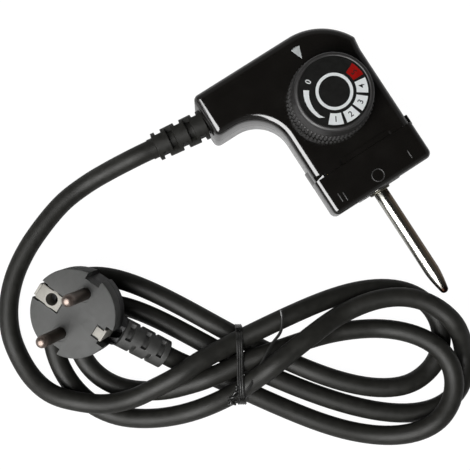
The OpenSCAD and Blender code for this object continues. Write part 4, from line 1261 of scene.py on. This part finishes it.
def plug_cuts(piece):
    """Grooves at the ends of the pin line and notches at the side contacts."""
    groove = FACE_R - 3
    groove_half = 3.25
    notch = FACE_R - 3.6
    notch_half = 4
    notch_low = -13
    place = plug_matrix()
    for side in (-1, 1):
        near, far = sorted((side * groove, side * PLUG_FAR))
        mill(piece, (near, -groove_half, -PLUG_DEPTH - OVERRUN), (far, groove_half, OVERRUN), place)
        near, far = sorted((side * notch, side * PLUG_FAR))
        mill(piece, (-notch_half, near, notch_low), (notch_half, far, OVERRUN), place)


def add_plug_body():
    back_r = 11.5
    rim = 2
    steps = 16
    wall = 1.2
    bore_start = 9
    bore_r = CORD_R + 0.05
    profile = [(0, -INSERT_DEPTH), (FACE_R - 0.1, -INSERT_DEPTH), (FACE_R, -INSERT_DEPTH - 0.15)]
    low = Vector((FACE_R, -INSERT_DEPTH - rim))
    high = Vector((back_r, -PLUG_DEPTH))
    for i in range(steps + 1):
        t = i / steps
        profile.append((low.x + (high.x - low.x) * t ** 1.8,
                        low.y + (high.y - low.y) * (1 - (1 - t) ** 1.35)))
    profile.append((0, -PLUG_DEPTH))
    body = lathe("plug_shell", profile, matrix=plug_matrix())
    outlet = [(0, 8.0), (7.9, 8.0), (7.4, 11), (6.9, 14.5), (6.5, 17.6), (6.1, OUTLET_START),
              (0, OUTLET_START)]
    combine(body, lathe("tool", outlet, segments=96, matrix=outlet_matrix()), "UNION")
    plug_cuts(body)
    drill(body, bore_r, bore_start, OUTLET_START + OVERRUN, outlet_matrix())
    drill(body, back_r - wall, -PLUG_DEPTH + 2 * wall, OVERRUN, plug_matrix())
    return finish_piece(body, "plug_black", "plug_body", sharp=30)


def add_plug_face():
    seat = -INSERT_DEPTH + 0.02
    through = -INSERT_DEPTH - OVERRUN
    collar_r = 3.3
    collar_depth = 0.35
    pin_hole_r = PIN_R + 0.05
    earth_hole_r = 3.7
    plate_half = 3.6
    plate_end = EARTH_Y - 4.9
    plate_low = -1.2
    tab_half = 2.7
    tab_end = -FACE_R + 7.1
    tab_low = -0.8
    place = plug_matrix()
    profile = [(0, seat), (FACE_R, seat), (FACE_R, -0.6), (FACE_R - 0.18, -0.18), (FACE_R - 0.6, 0), (0, 0)]
    face = lathe("plug_insert", profile, segments=160, matrix=place)
    plug_cuts(face)
    for side in (-1, 1):
        drill(face, pin_hole_r, through, OVERRUN, pin_matrix(side))
        drill(face, collar_r, -collar_depth, OVERRUN, pin_matrix(side))
    drill(face, earth_hole_r, through, OVERRUN, place @ at(0, EARTH_Y))
    mill(face, (-plate_half, plate_end, plate_low), (plate_half, PLUG_FAR, OVERRUN), place)
    mill(face, (-tab_half, -PLUG_FAR, tab_low), (tab_half, tab_end, OVERRUN), place)
    return finish_piece(face, "plug_grey", "plug_face", sharp=25)


def add_plug_pins():
    length = 19
    foot_r = 2.0
    foot = -10.5
    round_r = 2
    flat_r = PIN_R - round_r + 0.35
    profile = [(0, foot), (foot_r, foot), (foot_r, -0.02), (PIN_R, 0), (PIN_R, 1), (PIN_R, 9)]
    for p in arc((PIN_R - round_r, length - round_r), round_r, 0, 80, 8):
        profile.append((max(p.x, flat_r), p.y))
    profile += [(0.3, length - 0.01), (0, length)]
    pins = merged([lathe("plug_pins_bright", profile, PIN_SIDES, pin_matrix(side)) for side in (-1, 1)])
    return finish_piece(pins, "pin_metal", "plug_pins", sharp=40)


def add_earth_parts():
    plate_half = 3.2
    plate_end = EARTH_Y - 4.4
    plate_low = -0.75
    clip_half = 2.5
    clip_low = -12
    clip_t = 1
    tab_half = 1.9
    tab_low = -0.7
    tab_reach = 3.2
    clip_gap = 0.05
    overlap = 0.1
    proud = 0.02
    top = 0.05
    sleeve_r = 3.5
    sleeve_low = -15
    sleeve_top = -0.1
    bore_r = EARTH_BORE_R - 0.03
    bore_low = -14.2
    outer = FACE_R - 1.5
    inner = FACE_R - 3.6
    place = plug_matrix()
    plate = cuboid("earth_contact", (-plate_half, plate_end, plate_low), (plate_half, outer, top), place)
    bevel_edges(plate, width=0.2)
    wall = [(EARTH_BORE_R, sleeve_low), (sleeve_r, sleeve_low), (sleeve_r, sleeve_top),
            (EARTH_BORE_R, sleeve_top)]
    combine(plate, lathe("tool", wall, PIN_SIDES, place @ at(0, EARTH_Y)), "UNION")
    drill(plate, bore_r, bore_low, OVERRUN, place @ at(0, EARTH_Y))
    finish_piece(plate, "earth_silver", "earth_plate")
    clips = merged([
        cuboid("earth_springs", (-clip_half, outer + clip_gap, clip_low),
               (clip_half, outer + clip_t, proud), place),
        cuboid("tool", (-clip_half, -inner - clip_t, clip_low), (clip_half, -inner, proud), place),
        cuboid("tool", (-tab_half, -inner - overlap, tab_low), (tab_half, -inner + tab_reach, top), place)])
    bevel_edges(clips, width=0.18)
    finish_piece(clips, "earth_silver", "earth_clips")
    return [plate, clips]


# Surroundings


def white_share(tree):
    """How far the floor shows as plain white, by the kind of ray that meets it."""
    path = add_node(tree, "ShaderNodeLightPath", {})
    share = None
    for ray, most in (("Is Camera Ray", 0.9), ("Is Transmission Ray", 0.9), ("Is Glossy Ray", 0.2)):
        part = add_node(tree, "ShaderNodeMath", {0: path.outputs[ray], 1: most}, operation="MULTIPLY")
        if share:
            part = add_node(tree, "ShaderNodeMath", {0: share.outputs["Value"], 1: part.outputs["Value"]},
                            operation="MAXIMUM")
        share = part
    return share.outputs["Value"]


def add_floor():
    reach = 12 / MM
    floor = link_mesh("studio_floor", [(-reach, -reach, FLOOR_Z), (reach, -reach, FLOOR_Z),
                                       (reach, reach, FLOOR_Z), (-reach, reach, FLOOR_Z)], [[0, 1, 2, 3]])
    material = bpy.data.materials.new("studio_white")
    material.use_nodes = True
    tree = material.node_tree
    tree.nodes.clear()
    place = add_node(tree, "ShaderNodeTexCoord", {})
    grain = add_noise(tree, place.outputs["Object"], scale=40)
    lit = add_node(tree, "ShaderNodeBsdfDiffuse", {"Color": two_tone(tree, grain, grey(0.58), grey(0.62))})
    white = add_node(tree, "ShaderNodeEmission", {"Color": (1, 1, 1, 1), "Strength": 1.1})
    mix = add_node(tree, "ShaderNodeMixShader", {"Fac": white_share(tree), 1: lit.outputs["BSDF"],
                                                 2: white.outputs["Emission"]})
    add_node(tree, "ShaderNodeOutputMaterial", {"Surface": mix.outputs["Shader"]})
    floor.data.materials.append(material)


def add_world():
    """Dim room, white to the camera, so that the flat gloss top stays near black."""
    world = bpy.data.worlds.new("studio")
    bpy.context.scene.world = world
    world.use_nodes = True
    tree = world.node_tree
    background = tree.nodes["Background"]
    place = add_node(tree, "ShaderNodeTexCoord", {})
    axes = add_node(tree, "ShaderNodeSeparateXYZ", {"Vector": place.outputs["Generated"]})
    stops = [(0.0, 0.5), (0.15, 0.25), (0.5, 0.16), (0.8, 0.12), (0.9, 0.02), (1.0, 0.01)]
    room = ramp(tree, axes.outputs["Z"], [(height, grey(value)) for height, value in stops])
    white = ramp(tree, axes.outputs["Z"], [(0.0, grey(1)), (1.0, grey(1))])
    path = add_node(tree, "ShaderNodeLightPath", {})
    tree.links.new(blend(tree, path.outputs["Is Camera Ray"], room, white), background.inputs["Color"])
    background.inputs["Strength"].default_value = 1


# Places of the lights, in metres
LIGHT_AIM = Vector((-0.06, 0.02, 0))
KEY_AT = Vector((-0.68, -0.14, 0.77))
FILL_AT = Vector((0.6, 0.45, 0.75))


def add_softbox(name, place, size, radiance, shine, glow):
    """Area light aimed at the part that shows with the given radiance, as shine, as glow or both."""
    data = bpy.data.lights.new(name, "AREA")
    data.shape = "RECTANGLE"
    data.size, data.size_y = size
    data.energy = radiance * math.pi * size[0] * size[1]
    lamp = link(name, data)
    lamp.location = place
    lamp.rotation_euler = (LIGHT_AIM - place).to_track_quat("-Z", "Y").to_euler()
    lamp.visible_glossy = shine
    lamp.visible_diffuse = glow


def add_lights():
    add_softbox("key_shine", KEY_AT, size=(0.85, 0.95), radiance=10, shine=True, glow=False)
    add_softbox("key_glow", KEY_AT, size=(0.5, 0.95), radiance=9.2, shine=False, glow=True)
    add_softbox("fill_softbox", FILL_AT, size=(0.3, 0.3), radiance=2, shine=False, glow=True)


bpy.context.scene.view_settings.view_transform = "Standard"
add_camera()
make_materials()
dress_solids()
cord, cord_line, cord_length = add_cord()
add_upper_shell()
add_lower_shell()
add_shroud()
add_marks()
add_knob()
add_dial()
add_numbers()
add_pointer()
add_probe()
add_head_relief()
on_cord = [add_plug_relief()] + add_tie()
on_cord += [add_plug_body(), add_plug_face(), add_plug_pins()] + add_earth_parts()
on_cord += [frame["nodes"][name] for name in ("pin_bridge", "pin_crimps", "plug_wires")]
add_floor()
add_world()
add_lights()
